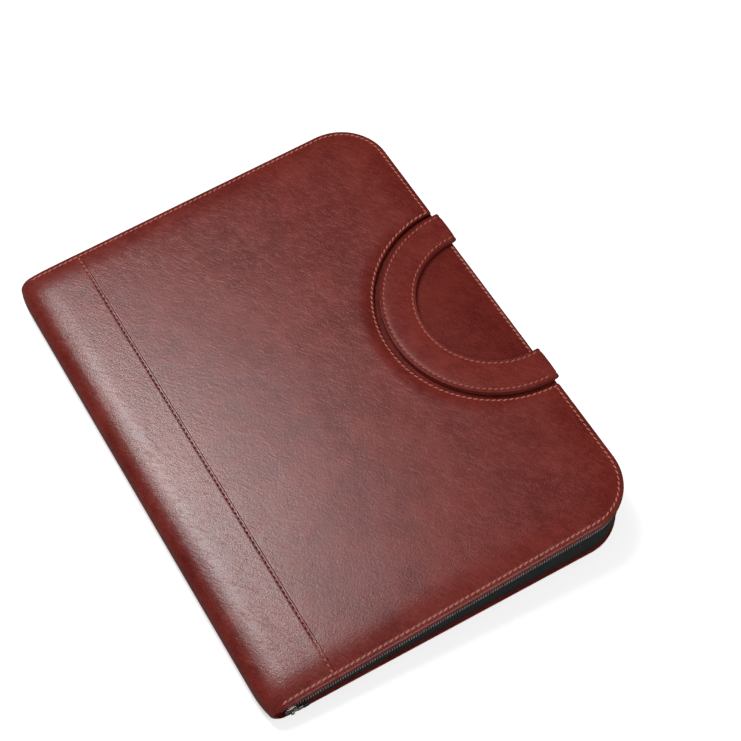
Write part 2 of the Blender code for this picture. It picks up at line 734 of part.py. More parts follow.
def build():
    clear_scene()
    materials = {
        "leather": finish("brown_leather", (0.105, 0.018, 0.014), 0.38),
        "edge": finish("painted_edge", (0.055, 0.012, 0.01), 0.5),
        "foam": finish("foam", (0.55, 0.53, 0.48), 0.95),
        "board": finish("grey_board", (0.3, 0.28, 0.25), 0.9),
        "lining": finish("black_lining", (0.02, 0.02, 0.022), 0.75),
        "tape": finish("woven_tape", (0.018, 0.018, 0.02), 0.9),
        "coil": finish("nylon_coil", (0.03, 0.032, 0.034), 0.45),
        "metal": finish("nickel", (0.6, 0.6, 0.58), 0.25, 1.0),
        "card": finish("grey_card", (0.4, 0.38, 0.34), 0.9),
        "paper": finish("paper", (0.86, 0.85, 0.8), 0.85),
    }
    top = pivot("padfolio", (0, 0, 0))
    back = pivot("back_cover", SPINE_CENTRE, top, TURN_OVER)
    spine_hinge = pivot("spine_hinge", SPINE_CENTRE + TURN_OVER @ HINGE, top)
    front = pivot("front_cover_hinge", TILT @ HINGE - TURN_OVER @ HINGE, spine_hinge, TILT)
    from_hinge = -HINGE

    for name, mesh, material in cover_layers(materials):
        piece("back_" + name, mesh, back, material)
        piece("front_" + name, mesh, front, material, from_hinge)
    spine(spine_hinge, -(TURN_OVER @ HINGE), materials)

    knuckle = Vector((KNUCKLE_AT, 0, SPINE_R - KNUCKLE_LEVEL))
    back_handle = pivot("back_handle_hinge", knuckle, back)
    front_handle = pivot("front_handle_hinge", from_hinge + knuckle, front)
    for name, mesh, material in handle_layers(materials):
        piece("back_" + name, mesh, back_handle, material)
        piece("front_" + name, mesh, front_handle, material)

    piece("upper_zip_tape", upper_tape(), front, materials["tape"], from_hinge)
    piece("upper_zip_coil", upper_coil(), front, materials["coil"], from_hinge)
    piece("lower_zip_tape", lower_tape(), back, materials["tape"])
    piece("lower_zip_coil", lower_coil(), back, materials["coil"])
    on_zip = Vector((SLIDER_MIDDLE, -WALL_Y, SPINE_R - ZIP_LEVEL))
    slider_run = pivot("slider_run", from_hinge + on_zip, front)
    zip_slider(slider_run, materials["metal"])
    zip_pull(pivot("pull_hinge", (0, -PIN_OUT, 0), slider_run), materials["metal"])

    notepad(back, materials)
    pockets(front, from_hinge, materials["lining"])
    piece("pen_loop", pen_loop(), front, materials["lining"], from_hinge)
    stand_on_origin(top)


build()
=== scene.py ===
import json
from math import atan2, ceil, cos, exp, hypot, pi, radians, sin, sqrt
import bmesh
import bpy
from mathutils import Matrix, Vector, noise

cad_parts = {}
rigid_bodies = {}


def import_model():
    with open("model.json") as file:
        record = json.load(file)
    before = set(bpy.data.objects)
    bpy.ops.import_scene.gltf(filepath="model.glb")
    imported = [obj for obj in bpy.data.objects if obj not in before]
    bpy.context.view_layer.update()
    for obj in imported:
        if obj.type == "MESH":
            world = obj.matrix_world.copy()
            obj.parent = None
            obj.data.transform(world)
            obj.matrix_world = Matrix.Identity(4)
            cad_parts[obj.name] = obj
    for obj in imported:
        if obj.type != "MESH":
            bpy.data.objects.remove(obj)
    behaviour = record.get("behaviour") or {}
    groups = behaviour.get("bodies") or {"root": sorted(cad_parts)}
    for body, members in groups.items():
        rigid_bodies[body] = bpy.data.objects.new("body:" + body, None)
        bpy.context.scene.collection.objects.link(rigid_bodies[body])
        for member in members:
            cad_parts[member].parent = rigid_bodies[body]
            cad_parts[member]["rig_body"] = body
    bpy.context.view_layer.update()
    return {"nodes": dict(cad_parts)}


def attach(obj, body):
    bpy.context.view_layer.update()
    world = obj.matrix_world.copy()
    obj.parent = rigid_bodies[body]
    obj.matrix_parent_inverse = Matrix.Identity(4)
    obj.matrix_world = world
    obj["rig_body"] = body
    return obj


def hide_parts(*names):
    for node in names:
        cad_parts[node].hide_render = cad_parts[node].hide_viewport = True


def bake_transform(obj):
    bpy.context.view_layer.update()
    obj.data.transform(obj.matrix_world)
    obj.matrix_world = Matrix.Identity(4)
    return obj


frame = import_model()

# Pieces are modelled in cover space, in metres: x runs from the middle of the rounded spine to the
# fore-edge, y along the spine, and z is the height over the crown of the cover's leather.
MM = 0.001
SPINE = Vector((-0.121368, 0.000952, 0.010))
SPINE_R = 10 * MM
WEDGE = radians(5.508878718)
HALF_SPINE = radians(87.2456)
REACH = 250 * MM
HALF = 170 * MM
CORNER_R = 35 * MM
SEAM = 36 * MM
HEM_ROLL = 20 * MM
HEM_DROP = 2.5 * MM
RECESS_ROLL = 10 * MM
RECESS_DROP = 1.5 * MM
EDGE_ROUND = 1.0 * MM
HEM_SEAM = 3.2 * MM
RECESS_SEAM = 1.4 * MM
STRIP_SEAM = 1.6 * MM
STRIP_RISE = 0.2 * MM
SPINE_FALL = 1.1 * MM
HEM_LOW = -4.6 * MM
SPINE_PULL = 2 * MM

HANDLE_AT = 248.5 * MM
HOLE_R = 48.5 * MM
RECESS_R = 75.4 * MM
KNUCKLE_AT = 250.6 * MM
KNUCKLE_Z = -2.4 * MM

FACING_TOP = -4.9 * MM
INSIDE = -8.2 * MM
TAPE_INSET = 1.6 * MM
TAPE_FOOT = -5.6 * MM
TEETH_INSET = 1.45 * MM
TEETH_PITCH = 1.65 * MM
STITCH_PITCH = 3.7 * MM

# How a mesh is divided: the longest step along an edge, the grid on a face, the depth of a rim as
# it is first extruded, and the distances at which a point counts as near an edge or as touching
EDGE_STEP = 5 * MM
GRID = 6 * MM
RIM = 1.15 * MM
NEAR = 0.05 * MM
TOUCH = 0.001 * MM

# Distances from the cover's edge at which its leather has a ring of points
ROLL = [d * MM for d in (0.12, 0.4, 0.8, 1.1, 1.4, 1.7, 2.1, 2.6, 2.9, 3.2, 3.5, 3.9, 4.6, 5.6, 7,
                         9, 11, 13.5, 16.5, 20)]

FRONT = (Matrix.Translation(SPINE) @ Matrix.Rotation(-WEDGE, 4, "Y")
         @ Matrix.Translation((0, 0, SPINE_R)))
BACK = (Matrix.Translation(SPINE) @ Matrix.Diagonal((1, -1, -1, 1))
        @ Matrix.Translation((0, 0, SPINE_R)))


# ---- Shader nodes written as expressions


class Signal:
    """A socket that gives numbers, so that shader maths can be written as Python."""

    def __init__(self, tree, socket):
        self.tree, self.socket = tree, socket

    def maths(self, operation, *values):
        return self.tree.node("ShaderNodeMath", {"operation": operation}, values)

    def __add__(self, other):
        return self.maths("ADD", self, other)

    def __radd__(self, other):
        return self.maths("ADD", other, self)

    def __sub__(self, other):
        return self.maths("SUBTRACT", self, other)

    def __rsub__(self, other):
        return self.maths("SUBTRACT", other, self)

    def __mul__(self, other):
        return self.maths("MULTIPLY", self, other)

    def __rmul__(self, other):
        return self.maths("MULTIPLY", other, self)


class Tree:
    """The shader nodes of a material or of the world."""

    def __init__(self, owner):
        owner.use_nodes = True
        self.nodes, self.links = owner.node_tree.nodes, owner.node_tree.links

    def node(self, kind, settings=None, values=(), output=0):
        made = self.nodes.new(kind)
        for key, value in (settings or {}).items():
            setattr(made, key, value)
        pairs = values.items() if isinstance(values, dict) else enumerate(values)
        for key, value in pairs:
            self.feed(made.inputs[key], value)
        return Signal(self, made.outputs[output])

    def feed(self, socket, value):
        if isinstance(value, Signal):
            self.links.new(value.socket, socket)
        elif isinstance(value, tuple) and len(value) == 3 and socket.type == "RGBA":
            socket.default_value = (*value, 1)
        else:
            socket.default_value = value

    def ray(self, kind):
        """One where the light path's ray is of a kind, and zero elsewhere."""
        return self.node("ShaderNodeLightPath", output=f"Is {kind} Ray")

    def axis(self, coordinate, place):
        return self.node("ShaderNodeSeparateXYZ", {}, {0: place}, "XYZ".index(coordinate))

    def band(self, value, low, high, first=0.0, last=1.0):
        """The value's share of the way from low to high, eased, as a number from first to last."""
        return self.node("ShaderNodeMapRange", {"interpolation_type": "SMOOTHSTEP"},
                         {0: value, 1: low, 2: high, 3: first, 4: last})

    def mix_values(self, factor, a, b):
        return self.node("ShaderNodeMix", {"data_type": "FLOAT"}, {0: factor, 2: a, 3: b})

    def mix_colours(self, factor, a, b):
        return self.node("ShaderNodeMix", {"data_type": "RGBA"}, {0: factor, 6: a, 7: b}, 2)


class Finish(Tree):
    """One surface finish: a material with its Principled shader and the nodes that feed it."""

    def __init__(self, name):
        self.material = bpy.data.materials.new(name)
        super().__init__(self.material)
        self.shader = self.nodes["Principled BSDF"]
        self.place = self.node("ShaderNodeTexCoord", output="Object")

    def turned(self, turn, scale):
        """The place turned first and then scaled, so that a pattern can run at a slant."""
        place = self.node("ShaderNodeMapping", {}, {0: self.place, 2: turn})
        return self.node("ShaderNodeMapping", {}, {0: place, 3: scale})

    def noise(self, scale, detail=2.0, rough=0.5, place=None, distortion=0.0):
        return self.node("ShaderNodeTexNoise", {}, {
            "Vector": place or self.place, "Scale": scale, "Detail": detail, "Roughness": rough,
            "Distortion": distortion})

    def cells(self, scale):
        return self.node("ShaderNodeTexVoronoi", {"feature": "SMOOTH_F1"},
                         {"Vector": self.place, "Scale": scale})

    def wave(self, value, length, shift=0.0):
        """A sine of a distance in metres, with a wavelength in metres and a shift in radians."""
        phase = value * (2 * pi / length) + shift
        return phase.maths("SINE", phase)

    def attribute(self, name):
        return self.node("ShaderNodeAttribute", {"attribute_name": name}, {}, 2)

    def bump(self, height, distance, strength=1.0, under=None):
        values = {"Height": height, "Distance": distance, "Strength": strength}
        if under is not None:
            values["Normal"] = under
        return self.node("ShaderNodeBump", {}, values)

    def surface(self, **sockets):
        for name, value in sockets.items():
            self.feed(self.shader.inputs[name.replace("_", " ")], value)
        return self.material


def leather(name, dark, light, gloss, shine=0.5):
    """Waxed leather: clouded colour, fine pebbled grain with painted glints, and short creases that
    run one way.
    """
    f = Finish(name)
    clouds = f.noise(24, 4, 0.6)
    patches = f.noise(90, 3, 0.6)
    fine = f.noise(1100, 2, 0.7)
    strokes = f.noise(1, 3, 0.62, f.turned((0, 0, radians(58)), (150, 560, 400)), 0.7)
    wisps = f.band(strokes, 0.48, 0.76)
    tone = f.band(clouds * 0.28 + patches * 0.22 + strokes * 0.24 + fine * 0.26, 0.38, 0.6)
    colour = f.mix_colours(tone, dark, light)
    # Bright specks mixed into the colour are painted glints off the grain.
    painted_glints = f.band(f.noise(1500, 2, 0.5), 0.57, 0.7)
    colour = f.mix_colours(painted_glints * 0.6, colour, tuple(min(1, c * 1.7) for c in light))
    pebbles = f.cells(950)
    grain = f.bump(pebbles * 0.7 + fine * 0.7, 0.0001, 0.6)
    creases = f.bump(wisps, 0.00007, 0.45, grain)
    soft = f.bump(patches, 0.0004, 0.25, creases)
    rough = gloss - 0.01 + (patches - 0.5) * 0.06 + wisps * 0.07
    return f.surface(Base_Color=colour, Roughness=rough, Specular_IOR_Level=shine, Normal=soft)


def thread(name, colour, end_colour=None):
    """Twisted waxed thread. The seam's thread is dark, partly as painted shade for the groove that
    it sinks into, and paler near the two ends of the spine.
    """
    f = Finish(name)
    shade = f.noise(420, 2)
    base = f.mix_colours(shade, tuple(c * 0.72 for c in colour), colour)
    if end_colour is not None:
        off = f.axis("Y", f.place) - SPINE.y
        off = off.maths("ABSOLUTE", off)
        base = f.mix_colours(f.band(off, 0.139, 0.152), base, end_colour)
    twist = f.node("ShaderNodeTexWave", {"wave_type": "BANDS", "bands_direction": "DIAGONAL"},
                   {"Scale": 700, "Distortion": 1.5})
    return f.surface(Base_Color=base, Roughness=0.66, Specular_IOR_Level=0.3,
                     Normal=f.bump(twist, 0.00008, 0.5))


def painted_edge():
    f = Finish("edge_paint")
    clouds = f.noise(160, 3)
    # The edge paint is lightened, partly as a painted highlight, so that the strap's core shows as
    # a light line between its leather layers.
    colour = f.mix_colours(clouds, (0.17, 0.05, 0.04), (0.3, 0.1, 0.08))
    return f.surface(Base_Color=colour, Roughness=0.35, Normal=f.bump(clouds, 0.0002, 0.4))


def zip_cloth():
    """Black zip tape: fine ribs along its length, and a herringbone across them."""
    f = Finish("zip_cloth")
    along, across = f.attribute("along"), f.attribute("across")
    rib = f.wave(across, 0.9 * MM)
    herringbone = f.wave(along, 1.1 * MM, rib * 1.4)
    fuzz = f.noise(2600, 2)
    height = rib * 0.3 + herringbone * 0.35 + fuzz * 0.5
    tone = f.band(height, -0.5, 1.0)
    colour = f.mix_colours(tone, (0.002, 0.0023, 0.0025), (0.036, 0.038, 0.039))
    return f.surface(Base_Color=colour, Roughness=0.62, Specular_IOR_Level=0.35,
                     Normal=f.bump(height, 0.00012, 0.8))


def woven(name, dark, light):
    """A plain weave of fine threads, for linings."""
    f = Finish(name)
    warp, weft = (f.wave(f.axis(a, f.place), 0.7 * MM) for a in "XY")
    height = warp * weft + f.noise(900, 2) * 0.8
    colour = f.mix_colours(f.band(height, -0.8, 1.6), dark, light)
    return f.surface(Base_Color=colour, Roughness=0.8, Normal=f.bump(height, 0.00006, 0.6))


def metal(name, colour, rough):
    f = Finish(name)
    wear = f.noise(380, 4, 0.6)
    tint = f.mix_colours(wear, tuple(c * 0.85 for c in colour), colour)
    return f.surface(Base_Color=tint, Metallic=1.0, Roughness=rough + wear * 0.12)


def paper():
    """Faintly ruled paper, whose page edges show as fine lines along the pad's sides."""
    f = Finish("pad_paper")
    page = f.wave(f.axis("Z", f.place), 0.22 * MM)
    fibres = f.noise(500, 3)
    colour = f.mix_colours(f.band(page + fibres, -0.6, 1.4), (0.72, 0.71, 0.66), (0.87, 0.86, 0.82))
    rule = f.wave(f.axis("Y", f.place), 8 * MM)
    colour = f.mix_colours(f.band(rule, 0.985, 0.998) * 0.5, colour, (0.3, 0.38, 0.5))
    return f.surface(Base_Color=colour, Roughness=0.88, Normal=f.bump(page, 0.00003, 0.4))


def plain_grained(name, dark, light, scale, rough, depth):
    """Board, card, foam or rubber: a clouded colour and a grain of its own size."""
    f = Finish(name)
    grain = f.noise(scale, 4, 0.6)
    colour = f.mix_colours(f.band(grain, 0.3, 0.7), dark, light)
    return f.surface(Base_Color=colour, Roughness=rough, Normal=f.bump(grain, depth, 0.6))


COVER_LEATHER = leather("brown_leather_skin", (0.115, 0.0095, 0.007), (0.195, 0.024, 0.0165), 0.3)
HANDLE_LEATHER = leather("handle_leather_skin",
                         (0.125, 0.0125, 0.0095), (0.2, 0.027, 0.0195), 0.33, 0.16)
# Darker than the cover's leather: its colour is partly painted shade for the recess floor beside
# the strap.
FACING_LEATHER = leather("facing_leather_skin",
                         (0.1, 0.0095, 0.007), (0.165, 0.02, 0.014), 0.33, 0.12)
BLACK_LEATHER = leather("inside_leather_skin", (0.012, 0.012, 0.013), (0.028, 0.027, 0.028), 0.5)
HEM_THREAD = thread("hem_thread", (0.62, 0.215, 0.155))
HANDLE_THREAD = thread("handle_thread", (0.46, 0.14, 0.1))
# The seam thread's near-black red is partly painted shade for the groove that its stitches sink
# into; the paler colour is used near the spine's ends.
SEAM_THREAD = thread("seam_thread", (0.085, 0.01, 0.007), (0.42, 0.15, 0.1))
BLACK_THREAD = thread("inside_thread", (0.03, 0.03, 0.032))
EDGE_PAINT = painted_edge()
ZIP_CLOTH = zip_cloth()
LINING_CLOTH = woven("lining_cloth", (0.012, 0.012, 0.014), (0.035, 0.035, 0.038))
NICKEL = metal("nickel_plate", (0.62, 0.61, 0.59), 0.2)
# The coil's grey is partly painted highlight, lightened so that its turns show as bright glints.
COIL_PLASTIC = plain_grained("coil_nylon",
                             (0.14, 0.143, 0.145), (0.3, 0.304, 0.306), 300, 0.18, 0.0001)
RUBBER = plain_grained("pull_rubber", (0.012, 0.012, 0.013), (0.03, 0.03, 0.032), 400, 0.5, 0.0001)
PAPER = paper()
CARD = plain_grained("pad_card", (0.3, 0.28, 0.25), (0.44, 0.42, 0.38), 350, 0.9, 0.0001)
BOARD = plain_grained("stiff_board", (0.24, 0.22, 0.2), (0.36, 0.34, 0.31), 250, 0.9, 0.0002)
FOAM = plain_grained("padding_foam", (0.45, 0.43, 0.38), (0.62, 0.6, 0.55), 900, 0.95, 0.0003)


# ---- Modelling by hand


def only(piece):
    bpy.ops.object.select_all(action="DESELECT")
    piece.select_set(True)
    bpy.context.view_layer.objects.active = piece


def link(item):
    bpy.context.scene.collection.objects.link(item)


def named(name):
    piece = bpy.context.object
    piece.name = piece.data.name = name
    return piece


def add(kind, name, **settings):
    """A new primitive, the only thing selected."""
    bpy.ops.object.select_all(action="DESELECT")
    getattr(bpy.ops.mesh, f"primitive_{kind}_add")(**settings)
    return named(name)


def edit(piece):
    only(piece)
    bpy.ops.object.mode_set(mode="EDIT")


def everything():
    bpy.ops.mesh.select_all(action="SELECT")


def leave():
    bpy.ops.object.mode_set(mode="OBJECT")


def pick(piece, kind, test=lambda item: True):
    """Selects those of a piece's verts, edges or faces that pass a test, in edit mode."""
    bpy.ops.mesh.select_mode(type={"verts": "VERT", "edges": "EDGE", "faces": "FACE"}[kind])
    bpy.ops.mesh.select_all(action="DESELECT")
    shape = bmesh.from_edit_mesh(piece.data)
    for item in getattr(shape, kind):
        if test(item):
            item.select_set(True)
    bmesh.update_edit_mesh(piece.data)


def middle(edge):
    return (edge.verts[0].co + edge.verts[1].co) / 2


def start_point(name, x, y, z):
    """A new piece that is one point, ready to be extruded into a line."""
    piece = add("plane", name, size=1 * MM)
    edit(piece)
    bpy.ops.mesh.select_mode(type="VERT")
    everything()
    bpy.ops.mesh.merge(type="CENTER")
    bpy.ops.transform.translate(value=(x, y, z))
    return piece


def extrude(x=0.0, y=0.0, z=0.0):
    bpy.ops.mesh.extrude_region_move(TRANSFORM_OT_translate={"value": (x, y, z)})


def modify(piece, kind, **settings):
    """Adds a modifier with its settings and applies it."""
    only(piece)
    modifier = piece.modifiers.new(kind.lower(), kind)
    for key, value in settings.items():
        setattr(modifier, key, value)
    bpy.ops.object.modifier_apply(modifier=modifier.name)


def shape_points(piece, move):
    """Gives each point of a finished mesh its new place."""
    for vert in piece.data.vertices:
        vert.co = move(vert.co)
    piece.data.update()


def thicken(piece, depth, test, direction):
    """Gives a sheet a depth in millimetres, behind the side that faces in a direction: the sheet is
    turned over first if its first face that passes a test doesn't face that way."""
    found = next(p for p in piece.data.polygons if test(p.center))
    if found.normal.dot(Vector(direction)) < 0:
        piece.data.flip_normals()
    modify(piece, "SOLIDIFY", thickness=depth * MM, offset=-1)
    return piece


def close_shell(piece):
    """Merges what meets and turns every face of a closed piece outwards."""
    edit(piece)
    everything()
    bpy.ops.mesh.remove_doubles(threshold=0.002 * MM)
    bpy.ops.mesh.normals_make_consistent(inside=False)
    leave()


def copy_of(piece, name):
    copy = piece.copy()
    copy.data = piece.data.copy()
    copy.name = copy.data.name = name
    link(copy)
    return copy


def lay(piece, place, material, body, angle=40, node=None):
    """Puts a piece's place into its mesh, gives it its finish, lets it ride on its body, and hides
    the solid that it is shown for."""
    piece.data.transform(place)
    piece.data.materials.clear()
    piece.data.materials.append(material)
    only(piece)
    bpy.ops.object.shade_smooth_by_angle(angle=radians(angle))
    if body:
        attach(piece, body)
    if node:
        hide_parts(node)
    return piece


def pressed(point):
    """The folder's weight presses the padding of its underside level."""
    return Vector((point.x, point.y, min(point.z, -0.02 * MM)))


def lay_both(piece, kind, material, body="cover", angle=40, node=None):
    """Lays one piece on the front and its copy on the back."""
    back = copy_of(piece, "back_" + kind)
    if body == "cover":
        shape_points(back, pressed)
    piece.name = piece.data.name = "front_" + kind
    for side, made, place in (("front_", piece, FRONT), ("back_", back, BACK)):
        lay(made, place, material, side + body, angle, node and side + node)
    return piece, back


def rolled(distance, drop, roll):
    """How far leather lies under the crown at a distance from an edge that it rolls down to."""
    fall = drop * max(1 - distance / roll, 0) ** 2.2
    if distance < EDGE_ROUND:
        fall += EDGE_ROUND - sqrt(EDGE_ROUND ** 2 - (EDGE_ROUND - distance) ** 2)
    return fall


def channel(off, depth, width=0.5):
    """The groove that a row of stitches pulls into the leather, at a distance off its middle."""
    return depth * MM * exp(-(off / (width * MM)) ** 2)


def edge_drop(outer, recess):
    """How far the cover lies under its crown, at distances from its outer edge and the recess."""
    hem = rolled(outer, HEM_DROP, HEM_ROLL)
    return (hem ** 4 + rolled(recess, RECESS_DROP, RECESS_ROLL) ** 4) ** 0.25


def corner_point(x, y):
    """The nearest point of the line that the cover's edge is a round offset of."""
    limit = HALF - CORNER_R
    return min(x, REACH - CORNER_R), max(-limit, min(limit, y))


def from_edge(x, y):
    """Distance from the cover's outer edge and from the edge of the recess."""
    near_x, near_y = corner_point(x, y)
    outer = CORNER_R - hypot(x - near_x, y - near_y)
    return outer, hypot(x - HANDLE_AT, y) - RECESS_R


def outward(x, y):
    """The level direction that the cover's outer edge faces, at or near a point of it."""
    near_x, near_y = corner_point(x, y)
    return Vector((x - near_x, y - near_y, 0)).normalized()


def inward(point):
    """The level direction into the leather from a point of the cover's edge or of the recess's."""
    from_handle = Vector((point.x - HANDLE_AT, point.y, 0))
    if from_handle.length < RECESS_R + 0.6 * MM and point.x < REACH - 0.3 * MM:
        return from_handle.normalized()
    return -outward(point.x, point.y)


def cover_face(name, start, inset, level):
    """A flat face with the cover's outline: a rectangle with two round corners."""
    reach, half, radius = REACH - inset, HALF - inset, CORNER_R - inset
    piece = add("plane", name, size=1)
    edit(piece)
    bpy.ops.transform.resize(value=(reach - start, 2 * half, 1))
    bpy.ops.transform.translate(value=((reach + start) / 2, 0, level))
    pick(piece, "verts", lambda v: v.co.x > reach - radius)
    bpy.ops.mesh.bevel(offset=radius, segments=24, affect="VERTICES")
    leave()
    return piece


def cut_recess(piece):
    """Scores circles around the handle into a flat face, and takes out what lies in the recess."""
    edit(piece)
    bpy.ops.mesh.select_all(action="DESELECT")
    for distance in [0, *ROLL]:
        bpy.ops.mesh.primitive_cylinder_add(
            vertices=180, radius=RECESS_R + distance, depth=10 * MM, end_fill_type="NOTHING",
            location=(HANDLE_AT, 0, 0))
        walls = bmesh.from_edit_mesh(piece.data)
        for face in walls.faces:
            if abs(face.normal.z) < 0.5:
                face.select_set(True)
        bmesh.update_edit_mesh(piece.data)
    bpy.ops.mesh.intersect(mode="SELECT_UNSELECT", separate_mode="NONE", solver="EXACT")
    gap = lambda v: from_edge(*v.co.xy)[1]
    pick(piece, "faces", lambda f: abs(f.normal.z) < 0.5 or all(
        gap(v) < 0.01 * MM for v in f.verts))
    bpy.ops.mesh.delete(type="FACE")
    leave()
    ring = lambda f: all(gap(v) < ROLL[-1] + 0.01 * MM for v in f.verts) and any(
        v.co.x < REACH - ROLL[-1] - 0.01 * MM for v in f.verts)
    edit(piece)
    for step in range(1, 90):
        angle = radians(90 + step * 2)
        pick(piece, "faces", ring)
        bpy.ops.mesh.bisect(plane_co=(HANDLE_AT, 0, 0), plane_no=(sin(angle), -cos(angle), 0))
    leave()


def divide_long_edges(piece, longest):
    """Cuts each long straight edge into equal short ones."""
    edit(piece)
    while True:
        shape = bmesh.from_edit_mesh(piece.data)
        long = next((e for e in shape.edges if e.calc_length() > longest * 1.01), None)
        if long is None:
            break
        cuts = ceil(long.calc_length() / longest) - 1
        bpy.ops.mesh.select_mode(type="EDGE")
        bpy.ops.mesh.select_all(action="DESELECT")
        long.select_set(True)
        bmesh.update_edit_mesh(piece.data)
        bpy.ops.mesh.subdivide(number_cuts=cuts)
    leave()


def ring_points(piece, distances):
    """Gives a flat face rings of points at distances from its outline."""
    divide_long_edges(piece, EDGE_STEP)
    edit(piece)
    everything()
    for last, distance in zip([0, *distances], distances):
        bpy.ops.mesh.inset(thickness=distance - last, use_even_offset=True)
    leave()


def grid_face(piece, test, xs, ys):
    """Cuts the faces that pass a test along level lines, so that they can be shaped."""
    edit(piece)
    for at, axis in [(x, (1, 0, 0)) for x in xs] + [(y, (0, 1, 0)) for y in ys]:
        pick(piece, "faces", test)
        place = (at, 0, 0) if axis[0] else (0, at, 0)
        bpy.ops.mesh.bisect(plane_co=place, plane_no=axis)
    leave()


def steps_between(low, high, step):
    count = max(1, round((high - low) / step))
    return [low + (high - low) * i / count for i in range(1, count)]


def progress(value, low, high):
    """How far a value is on its way from low to high, from 0 to 1."""
    return min(max((value - low) / (high - low), 0), 1)


def wander(point, size, seed):
    """A slow, even wandering of a surface, from -1 to 1."""
    return noise.noise(Vector((point.x / size, point.y / size, seed)))


# ---- Covers


def cover_skin():
    """The padded main panel: rolled edges all round, the recess cut out, and a dip at the seam."""
    piece = cover_face("cover_skin", SEAM - 30 * MM, 0, 0)
    ring_points(piece, ROLL)
    cut_recess(piece)
    edit(piece)
    everything()
    bpy.ops.mesh.bisect(plane_co=(SEAM - 3 * MM, 0, 0), plane_no=(1, 0, 0), clear_inner=True)
    leave()
    flat = lambda f: all(min(from_edge(*v.co.xy)) > ROLL[-1] - NEAR for v in f.verts)
    grid_face(piece, flat, steps_between(52 * MM, REACH, GRID),
              steps_between(-HALF, HALF, GRID))
    near_seam = [SEAM + d * MM for d in (-0.6, -0.3, -0.15, -0.05, 0.05, 0.15, 0.3, 0.6, 2, 6, 11)]
    grid_face(piece, lambda f: f.calc_center_median().x < 52 * MM, near_seam, [])
    edit(piece)
    pick(piece, "edges", lambda e: e.is_boundary and middle(e).x > SEAM - 2.9 * MM)
    for part in (0.4, 0.35, 0.25, 0.15):
        extrude(z=-part * MM)
    leave()
    shape_points(piece, padded_crown)
    return thicken(piece, 0.9, lambda c: c.z > -0.6 * MM, (0, 0, 1))


def cover_height(point):
    """The height of the cover's leather over a point, with its stitch channels and its padding."""
    outer, recess = (max(d, 0) for d in from_edge(point.x, point.y))
    drop = edge_drop(outer, recess)
    if min(outer, recess) > NEAR:
        drop += channel(outer - HEM_SEAM, 0.16) + channel(recess - RECESS_SEAM, 0.14)
    past = (point.x - SEAM) / MM
    drop += 0.9 * MM / (1 + exp(min(20 * (past + 0.02), 50)))
    inner = min(outer / HEM_ROLL, recess / RECESS_ROLL, 1) ** 2
    waves = 0.13 * wander(point, 55 * MM, 3.1) + 0.05 * wander(point, 21 * MM, 7.7)
    swell = 0.3 * sin(pi / 2 * progress(outer, 8 * MM, 53 * MM))
    return (waves + swell) * inner * MM - drop


def padded_crown(point):
    """Lifts or lowers each point of the flat skin to the cover's height, brings the rim down to the
    hem's foot and turns it under, and rounds the two corners where recess and fore-edge meet."""
    outer, recess = (max(d, 0) for d in from_edge(point.x, point.y))
    height = cover_height(point)
    fall = -point.z / RIM
    place = Vector((point.x, point.y, height + fall * (HEM_LOW - height)))
    turned = 0.32 if fall > 0.95 else 0.14 if fall > 0.8 else 0
    place += inward(point) * turned * MM
    corner = 1.4 * MM
    if outer < corner and recess < corner:
        a, b = 1 - outer / corner, 1 - recess / corner
        draw_x, draw_r = a * (1 - sqrt(1 - b * b / 2)), b * (1 - sqrt(1 - a * a / 2))
        to_handle = Vector((point.x - HANDLE_AT, point.y, 0)).normalized()
        place += corner * (draw_r * to_handle - draw_x * Vector((1, 0, 0)))
    return place


def strip_height(point):
    """The height of the leather strip over a point: its folded edge, stitches and rolled ends."""
    end = max(HALF - abs(point.y), 0)
    left = SEAM - point.x
    drop = rolled(end, HEM_DROP, HEM_ROLL)
    if end > NEAR:
        drop += channel(end - HEM_SEAM, 0.16) + channel(left - STRIP_SEAM, 0.16, 0.5)
    rise = STRIP_RISE * (1 - 0.6 * progress(left, 0, 22 * MM))
    if left < 0.35 * MM:
        rise -= 0.35 * MM - sqrt(max((0.35 * MM) ** 2 - (0.35 * MM - left) ** 2, 0))
    rise -= SPINE_FALL * max(1 - point.x / (14 * MM), 0) ** 2.2
    waves = 0.1 * MM * wander(point, 40 * MM, 5.5) * min(end / HEM_ROLL, 1) ** 2
    return rise - drop + waves * progress(left, 0, 5 * MM) * progress(point.x, 0, 8 * MM)


def spine_skin(name):
    """The leather strip of one cover: from its folded edge at the seam to the spine's middle."""
    ends = [0, *ROLL]
    across = [-HALF + d for d in ends]
    across += steps_between(-HALF + ROLL[-1], HALF - ROLL[-1], GRID)
    across += [HALF - d for d in reversed(ends)]
    lefts = [0, 0.04, 0.12, 0.22, 0.35, 0.6, 0.9, 1.15, 1.4, 1.6, 1.8, 2.05, 2.4, 3, 4, 5.2, 7]
    lefts += [7 + 29 / 12 * i for i in range(1, 13)]
    piece = start_point(name, SEAM, -HALF, -RIM)
    extrude(z=0.55 * MM)
    extrude(z=0.6 * MM)
    for y0, y1 in zip(across, across[1:]):
        extrude(y=y1 - y0)
    extrude(z=-0.6 * MM)
    extrude(z=-0.55 * MM)
    everything()
    for left0, left1 in zip(lefts, lefts[1:]):
        extrude(x=(left0 - left1) * MM)
    bpy.ops.mesh.spin(
        steps=32, angle=HALF_SPINE, center=(0, 0, -SPINE_R), axis=(0, 1, 0))
    pick(piece, "edges", lambda e: e.is_boundary and all(
        abs(v.co.x - SEAM) < 1e-6 and v.co.z > -1e-6 for v in e.verts))
    extrude(z=-0.9 * MM)
    leave()
    shape_points(piece, strip_form)
    flat = lambda c: 10 * MM < c.x < 30 * MM and abs(c.y) < 100 * MM
    return thicken(piece, 0.85, flat, (0, 0, 1))


